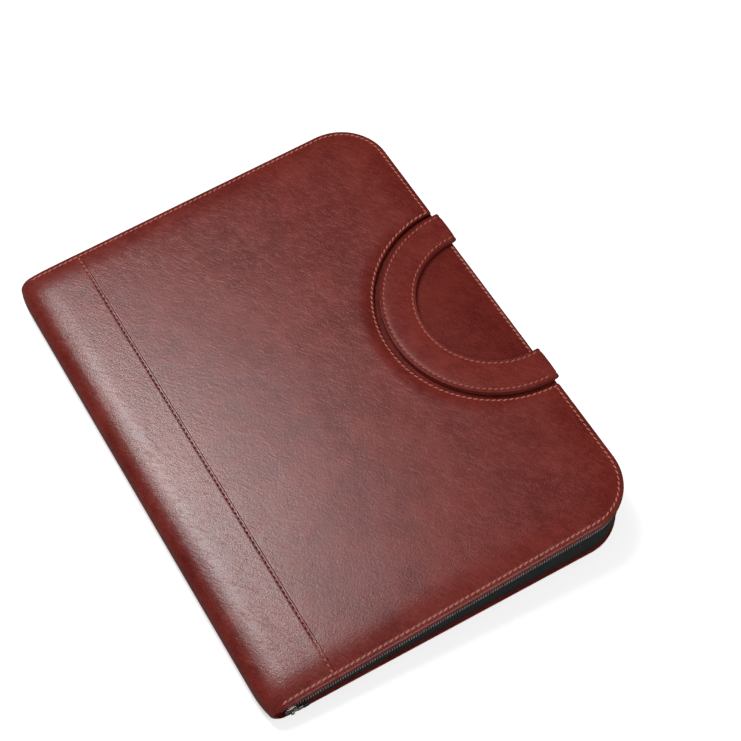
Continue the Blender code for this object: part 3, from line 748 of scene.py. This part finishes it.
def strip_form(point):
    """Shapes the strip's flat and round parts, whose ends draw in towards the spine."""
    end = HALF - abs(point.y)
    if point.x > -1e-6:
        height = strip_height(point)
        fall = -point.z / RIM
        if end > NEAR:
            return Vector((point.x - 0.05 * MM * min(fall, 1), point.y, height + point.z))
        return Vector((point.x, point.y, height + fall * (HEM_LOW - height)))
    centre = Vector((0, point.y, -SPINE_R))
    out = point - centre
    angle = atan2(-out.x, out.z)
    flat = Vector((0, point.y, out.length - SPINE_R))
    height = strip_height(Vector((0, point.y, 0)))
    fall = -flat.z / RIM
    height += fall * (HEM_LOW - height) if end < NEAR else flat.z
    height += SPINE_FALL * (1 - (1 + 1.4 * angle) * exp(-(angle / 0.7) ** 2)) if fall < 0.5 else 0
    place = centre + out.normalized() * (SPINE_R + height)
    pull = SPINE_PULL * sin(angle) ** 2 * progress(abs(point.y), 90 * MM, HALF) ** 2
    place.y -= pull * (1 if point.y > 0 else -1)
    return place


def hinge_cloth(name):
    """Lining cloth that bridges the inside of one fold, from the cover's lining to the spine."""
    piece = start_point(name, 9 * MM, -155 * MM, INSIDE + 0.12 * MM)
    for _ in range(31):
        extrude(y=10 * MM)
    everything()
    for _ in range(6):
        extrude(x=-1.5 * MM)
    bpy.ops.mesh.spin(
        steps=10, angle=HALF_SPINE, center=(0, 0, -SPINE_R), axis=(0, 1, 0))
    leave()
    return thicken(piece, 0.2, lambda c: c.x > 4 * MM, (0, 0, -1))


def facing_skin():
    """The leather under the hem, which is also the floor of the recess."""
    start = 3 * MM
    piece = cover_face("facing_skin", start, 0.1 * MM, FACING_TOP)
    ring_points(piece, [d * MM for d in (0.15, 0.4, 0.8, 1.2, 1.7, 2.3, 3.2, 4.5)])

    def inner(face):
        centre = face.calc_center_median()
        shown = 170 * MM < centre.x < REACH - 4.6 * MM and abs(centre.y) < 82 * MM
        return shown or face.calc_area() > 0.001

    grid_face(piece, inner, steps_between(160 * MM, REACH - 6 * MM, 4 * MM),
              steps_between(-80 * MM, 80 * MM, 4 * MM))
    edit(piece)
    pick(piece, "edges", lambda e: e.is_boundary)
    extrude(z=-0.4 * MM)
    leave()
    shape_points(piece, floor_form)
    return thicken(piece, 0.38, lambda c: c.z > FACING_TOP - 0.1 * MM and c.x > 0.1, (0, 0, 1))


def floor_form(point):
    """The recess's floor swells a little, with a bead and a stitch line along the fore-edge."""
    edge = from_edge(point.x, point.y)[0] - 0.1 * MM
    if point.z < FACING_TOP - 0.1 * MM:
        return point
    rise = -0.25 * exp(-((edge) / (0.2 * MM)) ** 2)
    rise += 0.12 * exp(-((edge - 0.9 * MM) / (0.5 * MM)) ** 2)
    rise -= 0.12 * exp(-((edge - 1.9 * MM) / (0.4 * MM)) ** 2)
    radius = hypot(point.x - HANDLE_AT, point.y)
    swell = progress(HOLE_R - radius, 0, 26 * MM) * progress(edge, 2.5 * MM, 16.5 * MM)
    rise += 0.7 * sin(swell * pi / 2)
    rise += 0.12 * wander(point, 17 * MM, 9.4) * min(swell * 3, 1)
    return point + Vector((0, 0, rise * MM))


# ---- Drop handles

# The strap's upper leather in section, as radius and height in millimetres
STRAP_TOP = (
    (48.55, -1.75), (48.5, -1.2), (48.5, -0.85), (48.6, -0.55), (48.85, -0.33), (49.15, -0.22),
    (49.4, -0.24), (49.62, -0.52), (49.85, -0.24), (50.3, -0.26), (50.7, -0.38), (51.1, -0.28),
    (51.9, -0.14), (53.5, -0.02),
    (56, 0.06), (60.2, 0.1), (64.4, 0.06), (66.9, -0.02), (68.1, -0.14), (68.9, -0.3),
    (69.3, -0.38), (69.7, -0.26), (70.5, -0.2), (70.7, -0.24), (70.9, -0.55), (71.12, -0.24),
    (71.4, -0.25), (71.65, -0.38), (71.82, -0.58),
    (71.9, -0.85), (71.9, -1.2), (71.85, -1.75), (71.5, -2.02), (60.2, -2.05), (48.9, -2.02),
)
STRAP_CORE = ((48.65, -1.9), (71.75, -1.9), (71.75, -2.9), (48.65, -2.9))
STRAP_LOW = tuple((r, 2 * KNUCKLE_Z / MM - z) for r, z in STRAP_TOP)


def strap(name, section, straight, curled):
    """A layer of the strap: a section swept round half a circle, whose ends may curl under."""
    piece = start_point(name, HANDLE_AT, section[0][0] * MM, section[0][1] * MM)
    for (r0, z0), (r1, z1) in zip(section, (*section[1:], section[0])):
        extrude(y=(r1 - r0) * MM, z=(z1 - z0) * MM)
    everything()
    bpy.ops.mesh.remove_doubles(threshold=0.01 * MM)
    everything()
    bpy.ops.mesh.spin(steps=72, angle=-pi, center=(HANDLE_AT, 0, 0), axis=(0, 0, 1))
    if straight:
        pick(piece, "edges", lambda e: all(
            abs(v.co.x - HANDLE_AT) < TOUCH for v in e.verts))
        extrude(x=KNUCKLE_AT - HANDLE_AT)
    if curled:
        for side in (-1, 1):
            pick(piece, "edges", lambda e: all(
                v.co.x > KNUCKLE_AT - TOUCH and v.co.y * side > 0 for v in e.verts))
            bpy.ops.mesh.spin(
                steps=14, angle=-pi, center=(KNUCKLE_AT, 0, KNUCKLE_Z), axis=(0, 1, 0))
            extrude(x=HANDLE_AT - KNUCKLE_AT)
    pick(piece, "edges", lambda e: e.is_boundary)
    bpy.ops.mesh.edge_face_add()
    leave()
    close_shell(piece)
    return piece


# ---- Stitches


def path(points):
    """A guide line that stitches and teeth are laid along."""
    line = bpy.data.curves.new("guide", "CURVE")
    line.dimensions = "3D"
    line.twist_mode = "Z_UP"
    spline = line.splines.new("POLY")
    spline.points.add(len(points) - 1)
    for point, place in zip(spline.points, points):
        point.co = (*place, 1)
    guide = bpy.data.objects.new("guide", line)
    link(guide)
    return guide


def length_of(points):
    return sum((Vector(b) - Vector(a)).length for a, b in zip(points, points[1:]))


def stitch(name, size, slant):
    """One stitch: a short plump thread, sized in millimetres, whose two ends dive into holes."""
    piece = add("uv_sphere", name, segments=8, ring_count=6, radius=0.5)
    edit(piece)
    everything()
    bpy.ops.transform.rotate(value=pi / 2, orient_axis="Y", center_override=(0, 0, 0))
    bpy.ops.transform.resize(value=[s * MM for s in size])
    leave()
    long = size[0] * MM / 2
    turn = Matrix.Rotation(radians(slant), 4, "Z")
    shape_points(piece, lambda p: turn @ Vector((p.x, p.y, p.z - 0.3 * MM * (p.x / long) ** 2)))
    return piece


def row(name, points, pitch=STITCH_PITCH, size=(3.5, 1.05, 0.8), slant=16, lead=0.5):
    """A row of equal beads of thread or plastic, an array bent along a line of points."""
    piece = stitch(name, size, slant)
    shape_points(piece, lambda p: p + Vector((pitch * lead, 0, 0)))
    count = int(length_of(points) / pitch)
    guide = path(points)
    modify(piece, "ARRAY", fit_type="FIXED_COUNT", count=count, use_relative_offset=False,
           use_constant_offset=True, constant_offset_displace=(pitch, 0, 0))
    modify(piece, "CURVE", object=guide, deform_axis="POS_X")
    bpy.data.objects.remove(guide)
    return piece


def arc(centre, radius, start, end, steps):
    angles = [start + (end - start) * i / steps for i in range(steps + 1)]
    return [(centre[0] + radius * cos(a), centre[1] + radius * sin(a)) for a in angles]


def edge_line(inset, start, stop_y, low_side=True):
    """The cover's edge drawn in, from near the spine round one corner to the fore-edge."""
    corner = arc((REACH - CORNER_R, CORNER_R - HALF), CORNER_R - inset, -pi / 2, 0, 24)
    points = [(start, inset - HALF), *corner, (REACH - inset, stop_y)]
    if low_side:
        return points
    return [(x, -y) for x, y in reversed(points)]


def whole_edge(inset, start):
    return edge_line(inset, start, 0) + edge_line(inset, start, 0, False)[1:]


def at_height(points, z):
    return [(x, y, z) for x, y in points]


def cover_stitches():
    """All rows of one cover: hem, recess, and the recess's floor."""
    turn = RECESS_R + RECESS_SEAM
    meet = sqrt(turn ** 2 - (REACH - HEM_SEAM - HANDLE_AT) ** 2)
    lines = [edge_line(HEM_SEAM, 0.8 * MM, -meet), edge_line(HEM_SEAM, 0.8 * MM, -meet, False)]
    lines.append(arc((HANDLE_AT, 0), turn, -pi * 0.5, -pi * 1.5, 90))
    rows = [row("skin_row", at_height(line, 0.04 * MM)) for line in lines]
    upper = joined(rows, "skin_rows")
    shape_points(upper, on_leather)
    floor_line = [(REACH - 2.0 * MM, y) for y in (-48.5 * MM, 0, 48.5 * MM)]
    lower = row("floor_row", at_height(floor_line, FACING_TOP - 0.02 * MM))
    return joined([upper, lower], "hem_stitches")


def on_leather(point):
    """A point over the flat plan, moved up or down with the leather under it."""
    height = strip_height(point) if point.x < SEAM else cover_height(point)
    return point + Vector((0, 0, height))


def seam_stitches():
    """The row beside the strip's folded edge, sunk a little in its channel."""
    line = [(SEAM - STRIP_SEAM, y) for y in (3.4 * MM - HALF, 0, HALF - 3.4 * MM)]
    piece = row("seam_stitches", at_height(line, 0), size=(2.6, 1.2, 0.8))
    shape_points(piece, on_leather)
    return piece


def handle_stitches():
    """Two rows on the strap's face, and the same two on its underside."""
    rows = []
    for radius in (50.7 * MM, 69.3 * MM):
        bow = arc((HANDLE_AT, 0), radius, pi / 2, pi * 1.5, 80)
        line = [(KNUCKLE_AT, radius), *bow, (KNUCKLE_AT, -radius)]
        upper = row("strap_row", at_height(line, -0.34 * MM))
        lower = copy_of(upper, "strap_row_low")
        turn = Matrix.Translation((0, 0, 2 * KNUCKLE_Z)) @ Matrix.Rotation(pi, 4, "X")
        lower.data.transform(turn)
        rows += [upper, lower]
    return joined(rows, "handle_stitches")


def joined(pieces, name):
    bpy.ops.object.select_all(action="DESELECT")
    for piece in pieces:
        piece.select_set(True)
    bpy.context.view_layer.objects.active = pieces[0]
    bpy.ops.object.join()
    return named(name)


# ---- Zip


def edge_wall(name, inset, start, depths):
    """An upright strip along the zip's line, with rows of points at several depths."""
    piece = cover_face(name, start, inset, depths[0])
    edit(piece)
    everything()
    bpy.ops.mesh.delete(type="ONLY_FACE")
    pick(piece, "edges", lambda e: middle(e).x < start + 0.01 * MM)
    bpy.ops.mesh.delete(type="EDGE")
    leave()
    divide_long_edges(piece, EDGE_STEP)
    edit(piece)
    everything()
    for low, high in zip(depths[1:], depths):
        extrude(z=low - high)
    leave()
    return piece


def along_edge(x, y):
    """Distance along the cover's edge, from the middle of the fore-edge."""
    side = 1 if y > 0 else -1
    straight, corner = HALF - CORNER_R, REACH - CORNER_R
    if abs(y) <= straight:
        return y
    if x >= corner:
        angle = pi / 2 - Vector((x - corner, abs(y) - straight)).angle(Vector((0, 1)))
        return side * (straight + CORNER_R * angle)
    return side * (straight + CORNER_R * pi / 2 + corner - x)


def mark_tape(piece, marks):
    """Keeps each point's place along and across the tape for its weave."""
    along = piece.data.attributes.new("along", "FLOAT", "POINT")
    across = piece.data.attributes.new("across", "FLOAT", "POINT")
    for i, mark in enumerate(marks):
        along.data[i].value, across.data[i].value = mark


def upper_tape():
    depths = [d * MM for d in (-5.6, -6.6, -7.6, -8.7)]
    piece = edge_wall("upper_tape_cloth", TAPE_INSET, 0.5 * MM, depths)
    mark_tape(piece, [(along_edge(v.co.x, v.co.y), v.co.z) for v in piece.data.vertices])
    thicken(piece, 0.8, lambda c: c.x > REACH - 3 * MM and abs(c.y) < 0.1, (1, 0, 0))
    lay(piece, FRONT, ZIP_CLOTH, "front_cover", node="upper_zip_tape")


def lower_tape():
    """The wide tape: it hangs from the lower teeth to the back hem, with a soft bulge."""
    rows = 12
    piece = edge_wall("lower_tape_cloth", TAPE_INSET, 0.5 * MM, [-i * MM for i in range(rows + 1)])
    marks = []
    for vert in piece.data.vertices:
        x, y = vert.co.x, vert.co.y
        share = -vert.co.z / MM / rows
        under_slider = y < 0 and x < 9.2 * MM
        head = FRONT @ Vector((x, y, (-13.7 if under_slider else -12.2) * MM))
        foot = BACK @ Vector((x, -y, TAPE_FOOT))
        tall = (head - foot).length
        loose = sin(pi * share)
        swell = loose * (tall * 0.03 + 0.25 * MM * wander(Vector((x, y, 0)), 23 * MM, share * 2))
        crease = 0.45 * MM * exp(-((share - 0.17) / 0.05) ** 2) * min(tall / (20 * MM), 1)
        vert.co = head.lerp(foot, share) + outward(x, y) * (swell - crease)
        marks.append((along_edge(x, y), share * tall))
    mark_tape(piece, marks)
    piece.data.update()
    thicken(piece, 0.8, lambda c: c.x > 0.12 and abs(c.y) < 0.05, (1, 0, 0))
    lay(piece, Matrix(), ZIP_CLOTH, "back_cover", node="lower_zip_tape")


def teeth():
    """The two rows of the coil, each in the gaps of the other. Each turn is an upright bead."""
    for name, start, height, lead, body, node in (
        ("upper_teeth", 0.6, -9.75, 0.5, "front_cover", "upper_zip_coil"),
        ("lower_teeth", 9.3, -11.25, 0.19, "back_cover", "lower_zip_coil"),
    ):
        line = at_height(whole_edge(TEETH_INSET, start * MM), height * MM)
        piece = row(name, line, TEETH_PITCH, (1, 1, 2.5), 0, lead)
        lay(piece, FRONT, COIL_PLASTIC, body, 60, node)


# Slider and pull are modelled lying flat, with the pin at a height in millimetres over the slider's
# middle, and stood up against the zip at their place
PIN = 3.5
SLIDER_PLACE = FRONT @ Matrix.Translation((4.5 * MM, -168 * MM, -10.5 * MM)) @ Matrix.Rotation(
    pi / 2, 4, "X")


def slab(name, low, high, radius, rounding=0.0, steps=5, taper=1.0):
    """A round-cornered slab between two corners, with softened edges. Its sizes are millimetres."""
    low, high = Vector(low) * MM, Vector(high) * MM
    centre, size = (low + high) / 2, high - low
    piece = add("plane", name, size=1)
    edit(piece)
    bpy.ops.transform.resize(value=(size.x, size.y, 1))
    bpy.ops.transform.translate(value=(centre.x, centre.y, low.z))
    pick(piece, "verts")
    bpy.ops.mesh.bevel(offset=radius * MM, segments=steps, affect="VERTICES")
    if taper != 1.0:
        pick(piece, "verts", lambda v: v.co.x > centre.x)
        bpy.ops.transform.resize(value=(1, taper, 1), center_override=(0, centre.y, 0))
    everything()
    extrude(z=size.z)
    everything()
    bpy.ops.mesh.normals_make_consistent(inside=False)
    if rounding:
        pick(piece, "edges", lambda e: any(
            all(abs(v.co.z - z) < TOUCH for v in e.verts) for z in (low.z, high.z)))
        bpy.ops.mesh.bevel(offset=rounding * MM, segments=3, affect="EDGES")
    leave()
    return piece


def rod(name, radius, half):
    """A round rod across the slider at the pin's height, with softened ends, in millimetres."""
    piece = add("cylinder", name, vertices=24, radius=radius * MM, depth=2 * half * MM)
    edit(piece)
    pick(piece, "edges", lambda e: abs(e.verts[0].co.z - e.verts[1].co.z) < 1e-7)
    bpy.ops.mesh.bevel(offset=0.22 * radius * MM, segments=2, affect="EDGES")
    leave()
    piece.data.transform(Matrix.Translation((0, 0, PIN * MM)) @ Matrix.Rotation(-pi / 2, 4, "X"))
    return piece


def zip_slider():
    """Two plates on a post, side flanges on the outer plate, and lugs with a pin for the pull."""
    parts = []
    for low, high in ((-2.2, -1.25), (1.25, 2.2)):
        parts.append(slab("slider_plate", (-4, -2.8, low), (4, 2.8, high), 1.6, 0.28, 6, 0.86))
    parts.append(slab("slider_post", (-1.5, -0.4, -1.3), (1.5, 0.4, 1.3), 0.15))
    for side in (-1, 1):
        low, high = sorted((side * 2.2, side * 2.75))
        parts.append(slab("slider_flange", (-3, low, 0.75), (2.4, high, 1.5), 0.2, 0.1))
        low, high = sorted((side * 1.15, side * 1.95))
        parts.append(slab("slider_lug", (-1.2, low, 1.9), (1.2, high, 4.4), 0.3, 0.3, 4))
    parts.append(rod("slider_pin", 0.45, 1.4))
    piece = joined(parts, "slider_casting")
    lay(piece, SLIDER_PLACE, NICKEL, "slider", 35, "zip_slider")


def zip_pull():
    """A barrel on the pin, a neck, and a flat tab with a rubber end."""
    barrel = rod("pull_barrel", 1, 1)
    neck, tab, grip = (
        slab(name, (x0, -wide, PIN - thick), (x1, wide, PIN + thick), radius, rounding)
        for name, x0, x1, wide, thick, radius, rounding in (
            ("pull_neck", 0.5, 4, 0.85, 0.35, 0.3, 0.14),
            ("pull_tab", 3.2, 7.4, 1.9, 0.4, 0.8, 0.2),
            ("pull_grip", 6.6, 11, 2.1, 0.65, 1.2, 0.4)))
    piece = joined([barrel, neck, tab], "pull_metal")
    lay(piece, SLIDER_PLACE, NICKEL, "pull", 35, "zip_pull")
    lay(grip, SLIDER_PLACE, RUBBER, "pull", 35)


# ---- Inside


def lining():
    """The lining cloth, wrapped over the board's edge."""
    piece = cover_face("lining", 3 * MM, 4.6 * MM, -5.75 * MM)
    divide_long_edges(piece, 8 * MM)
    edit(piece)
    everything()
    extrude(z=-1.7 * MM)
    for thick, depth in ((0.18, 0.22), (0.35, 0.12), (0.7, 0.05)):
        bpy.ops.mesh.inset(thickness=thick * MM, depth=-depth * MM, use_even_offset=True)
    leave()
    close_shell(piece)
    return piece


def pocket_line(low, high, inset):
    """Three sides of a pocket between corners in millimetres, open towards the spine's far end."""
    x0, y0, x1, y1 = low[0] + inset, low[1] + inset, high[0] - inset, high[1] - inset
    turns = [(x0, y1), (x0, (y0 + y1) / 2), (x0, y0), (x1, y0), (x1, (y0 + y1) / 2), (x1, y1)]
    return [(x * MM, y * MM) for x, y in turns]


def inside_row(name, points, depth, place, body):
    """A row of black stitches at a depth in millimetres, whose thread faces into the folder."""
    piece = row(name, at_height(points, 0), 3.2 * MM)
    piece.data.transform(Matrix.Translation((0, 0, -depth * MM)) @ Matrix.Diagonal((1, 1, -1, 1)))
    piece.data.flip_normals()
    lay(piece, place, BLACK_THREAD, body, 60)


def front_inside():
    """Document pocket, card pockets and the pen loop."""
    low, high = (52, -150, -9), (204, 150, -8.2)
    pocket = slab("document_pocket_leather", low, high, 8, 0.3)
    lay(pocket, FRONT, BLACK_LEATHER, "front_cover", node="document_pocket")
    inside_row("document_pocket_stitches", pocket_line(low, high, 3), 9.02, FRONT, "front_cover")
    for i in range(3):
        depth = 9.3 + i * 0.8
        low, high = (74, -140, -depth - 0.5), (172, -68 - 14 * i, -depth)
        card = slab(f"card_pocket_leather_{i + 1}", low, high, 2, 0.15)
        lay(card, FRONT, BLACK_LEATHER, "front_cover", node=f"card_pocket_{i + 1}")
    inside_row("card_pocket_stitches", pocket_line(low, high, 2), depth + 0.52, FRONT,
               "front_cover")
    softened("pen_loop", "pen_loop_leather", 0.25, BLACK_LEATHER)


def back_inside():
    """The writing pad, its binding and the sleeve that holds its card."""
    sheets = slab("pad_sheet_block", (28, -148.5, -13), (238, 148.5, -10.4), 2, 0.06)
    lay(sheets, BACK, PAPER, "back_cover", node="notepad_sheets")
    sleeve = slab("pad_sleeve_leather", (24, -27.5, -10.1), (242, 152.5, -9.5), 4, 0.2)
    lay(sleeve, BACK, BLACK_LEATHER, "back_cover", node="notepad_sleeve")
    flipped = pocket_line((24, -152.5), (242, 27.5), 1.6)
    inside_row("pad_sleeve_stitches", [(x, -y) for x, y in flipped], 10.12, BACK, "back_cover")
    softened("notepad_binding", "pad_binding_strip", 0.18, BLACK_LEATHER)


def softened(node, name, width, material):
    """A copy of a plain solid, shown in its place, with edges rounded by a width in millimetres."""
    source = frame["nodes"][node]
    piece = copy_of(source, name)
    for key in list(piece.keys()):
        del piece[key]
    piece.parent = None
    edit(piece)
    everything()
    bpy.ops.mesh.remove_doubles(threshold=TOUCH)
    bpy.ops.mesh.dissolve_limited(angle_limit=radians(1))
    leave()
    modify(piece, "BEVEL", width=width * MM, segments=3, limit_method="ANGLE",
           angle_limit=radians(30))
    lay(piece, Matrix(), material, source["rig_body"], 35, node)


# ---- The whole folder


def build_covers():
    skins = lay_both(cover_skin(), "cover_skin", COVER_LEATHER,
                     node="cover_leather")
    lay_both(facing_skin(), "facing_skin", FACING_LEATHER, node="recess_leather")
    lay_both(lining(), "lining_cloth", LINING_CLOTH, node="lining")
    for side in ("front", "back"):
        for i in (1, 2):
            softened(f"{side}_handle_tab_{i}", f"{side}_handle_tab_leather_{i}", 0.2,
                     FACING_LEATHER)


def build_spine():
    """Lays each half of the spine's leather and its hinge cloth in place, riding on no body, and
    hides the panels that they are shown for.
    """
    for side, place, covered in (
        ("front", FRONT, ("front_spine_panel", "spine_leather")),
        ("back", BACK, ("back_spine_panel",)),
    ):
        piece = spine_skin(f"{side}_spine_skin")
        cloth = hinge_cloth(f"{side}_hinge_cloth")
        if side == "back":
            shape_points(piece, pressed)
        lay(piece, place, COVER_LEATHER, None)
        lay(cloth, place, LINING_CLOTH, None)
        round_off = Matrix.Rotation(-pi / 4, 3, "Y") @ Vector((0, 0, SPINE_R))
        fold = place @ (round_off - Vector((0, 0, SPINE_R)))
        reach = place.to_3x3() @ Vector((1, 0, 1)).normalized() * 6.5 * MM
        at_spine, at_cover = (place @ Vector((x * MM, 0, z * MM)) for x, z in ((-2, -10), (4, -8)))
        for bent, spine_end, cover_end in (
            (piece, fold - reach, fold + reach), (cloth, at_spine, at_cover),
        ):
            if side == "front":
                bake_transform(bent)
            else:
                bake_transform(bent)
        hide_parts(*covered)


def build_stitches():
    lay_both(cover_stitches(), "hem_stitches", HEM_THREAD, angle=60)
    lay_both(seam_stitches(), "seam_stitches", SEAM_THREAD, angle=60)
    lay_both(handle_stitches(), "handle_stitches", HANDLE_THREAD, "handle", 60)


def build_handles():
    for section, kind, straight, curled, material, slot, node in (
        (STRAP_TOP, "strap_leather", True, True, HANDLE_LEATHER, "brown_leather", "handle_leather"),
        (STRAP_CORE, "strap_core", True, False, EDGE_PAINT, "painted_edge", "handle_core"),
        (STRAP_LOW, "strap_lining", False, False, HANDLE_LEATHER, "brown_leather", "handle_lining"),
    ):
        lay_both(strap(kind, section, straight, curled), kind, material, "handle", 50, node)


def dress_solids():
    """The solids that stay as they are get their finishes."""
    for nodes, material in (
        (("front_foam_pad", "back_foam_pad"), FOAM),
        (("front_filler_board", "back_filler_board", "front_base_board", "back_base_board",
          "spine_stiffener"), BOARD),
        (("spine_lining",), LINING_CLOTH),
        (("notepad_backing",), CARD),
    ):
        for node in nodes:
            frame["nodes"][node].data.materials.clear()
            frame["nodes"][node].data.materials.append(material)


for build in (build_covers, build_spine, build_handles, build_stitches, upper_tape, lower_tape,
              teeth, zip_slider, zip_pull, front_inside, back_inside, dress_solids):
    build()


# ---- Floor, light and camera


def floor():
    """A white floor. The camera sees it glow a little, and shiny leather mirrors it dimly."""
    f = Finish("floor_paper")
    f.surface(Base_Color=f.mix_colours(f.ray("Glossy"), (0.86, 0.86, 0.86), (0.2, 0.2, 0.2)),
              Roughness=0.9, Specular_IOR_Level=0.0)
    glow = f.node("ShaderNodeEmission", {}, {
        "Color": f.mix_colours(f.ray("Camera"), (0, 0, 0), (1, 1, 1)), "Strength": 0.55})
    total = f.node("ShaderNodeAddShader", {}, (Signal(f, f.shader.outputs[0]), glow))
    f.feed(f.nodes["Material Output"].inputs["Surface"], total)
    piece = add("plane", "floor", size=12)
    piece.data.materials.append(f.material)


def studio():
    """A white room that shiny leather mirrors dimly, least of all its ceiling. Two soft boxes, each
    mirrored at a point of the front cover, put the haze on the spine's side of it, and a window
    lights the side nearest the camera."""
    world = bpy.data.worlds.new("studio")
    bpy.context.scene.world = world
    w = Tree(world)
    upward = w.axis("Z", w.node("ShaderNodeTexCoord", output="Generated"))
    shown = w.mix_values(w.ray("Glossy"), 0.2, w.band(upward, 0.0, 0.5, 0.12, 0.03))
    shown = w.mix_values(w.ray("Camera"), shown, 1.0)
    w.feed(w.nodes["Background"].inputs["Color"], (1, 1, 1))
    w.feed(w.nodes["Background"].inputs["Strength"], shown)
    for name, x, y, distance, size, power in (
        ("soft_box", -48, -17, 1.05, (0.2, 0.53), 6.1),
        ("side_box", 38, -58, 1.15, (0.24, 0.42), 1.25),
    ):
        shown_at = FRONT @ Vector((x * MM, y * MM, 0))
        lamp(name, shown_at, shown_at - mirrored(CAMERA_PLACE), distance, size, power)
    lamp("window", FRONT @ Vector((110 * MM, -130 * MM, 0)), Vector((0.1, -0.66, 0.75)), 0.8,
         (0.5, 0.5), 2.3)


def mirrored(point):
    """A point seen in the front cover's face as in a mirror."""
    normal = (FRONT.to_3x3() @ Vector((0, 0, 1))).normalized()
    return point - 2 * (point - FRONT.translation).dot(normal) * normal


def lamp(name, aim, direction, distance, size, power):
    """An area lamp that faces a point from a direction and a distance."""
    direction = direction.normalized()
    light = bpy.data.lights.new(name, "AREA")
    light.shape = "RECTANGLE"
    light.size, light.size_y = size
    light.energy = power
    box = bpy.data.objects.new(name, light)
    link(box)
    box.location = aim + direction * distance
    box.rotation_mode = "QUATERNION"
    box.rotation_quaternion = direction.to_track_quat("Z", "Y")


CAMERA_PLACE = Vector((-0.305535, -0.46908, 0.93263))


def camera():
    """The photograph's view, fitted to the cover's edges, corners and the handle's circles."""
    data = bpy.data.cameras.new("camera")
    data.sensor_width = 36
    data.lens = 36 * 1700.75 / 741
    data.clip_start, data.clip_end = 0.05, 50
    view = bpy.data.objects.new("camera", data)
    link(view)
    view.location = CAMERA_PLACE
    view.rotation_euler = [radians(a) for a in (32.3253, -3.3234, -30.7965)]
    bpy.context.scene.camera = view


floor()
camera()
studio()
bpy.context.scene.view_settings.view_transform = "Standard"
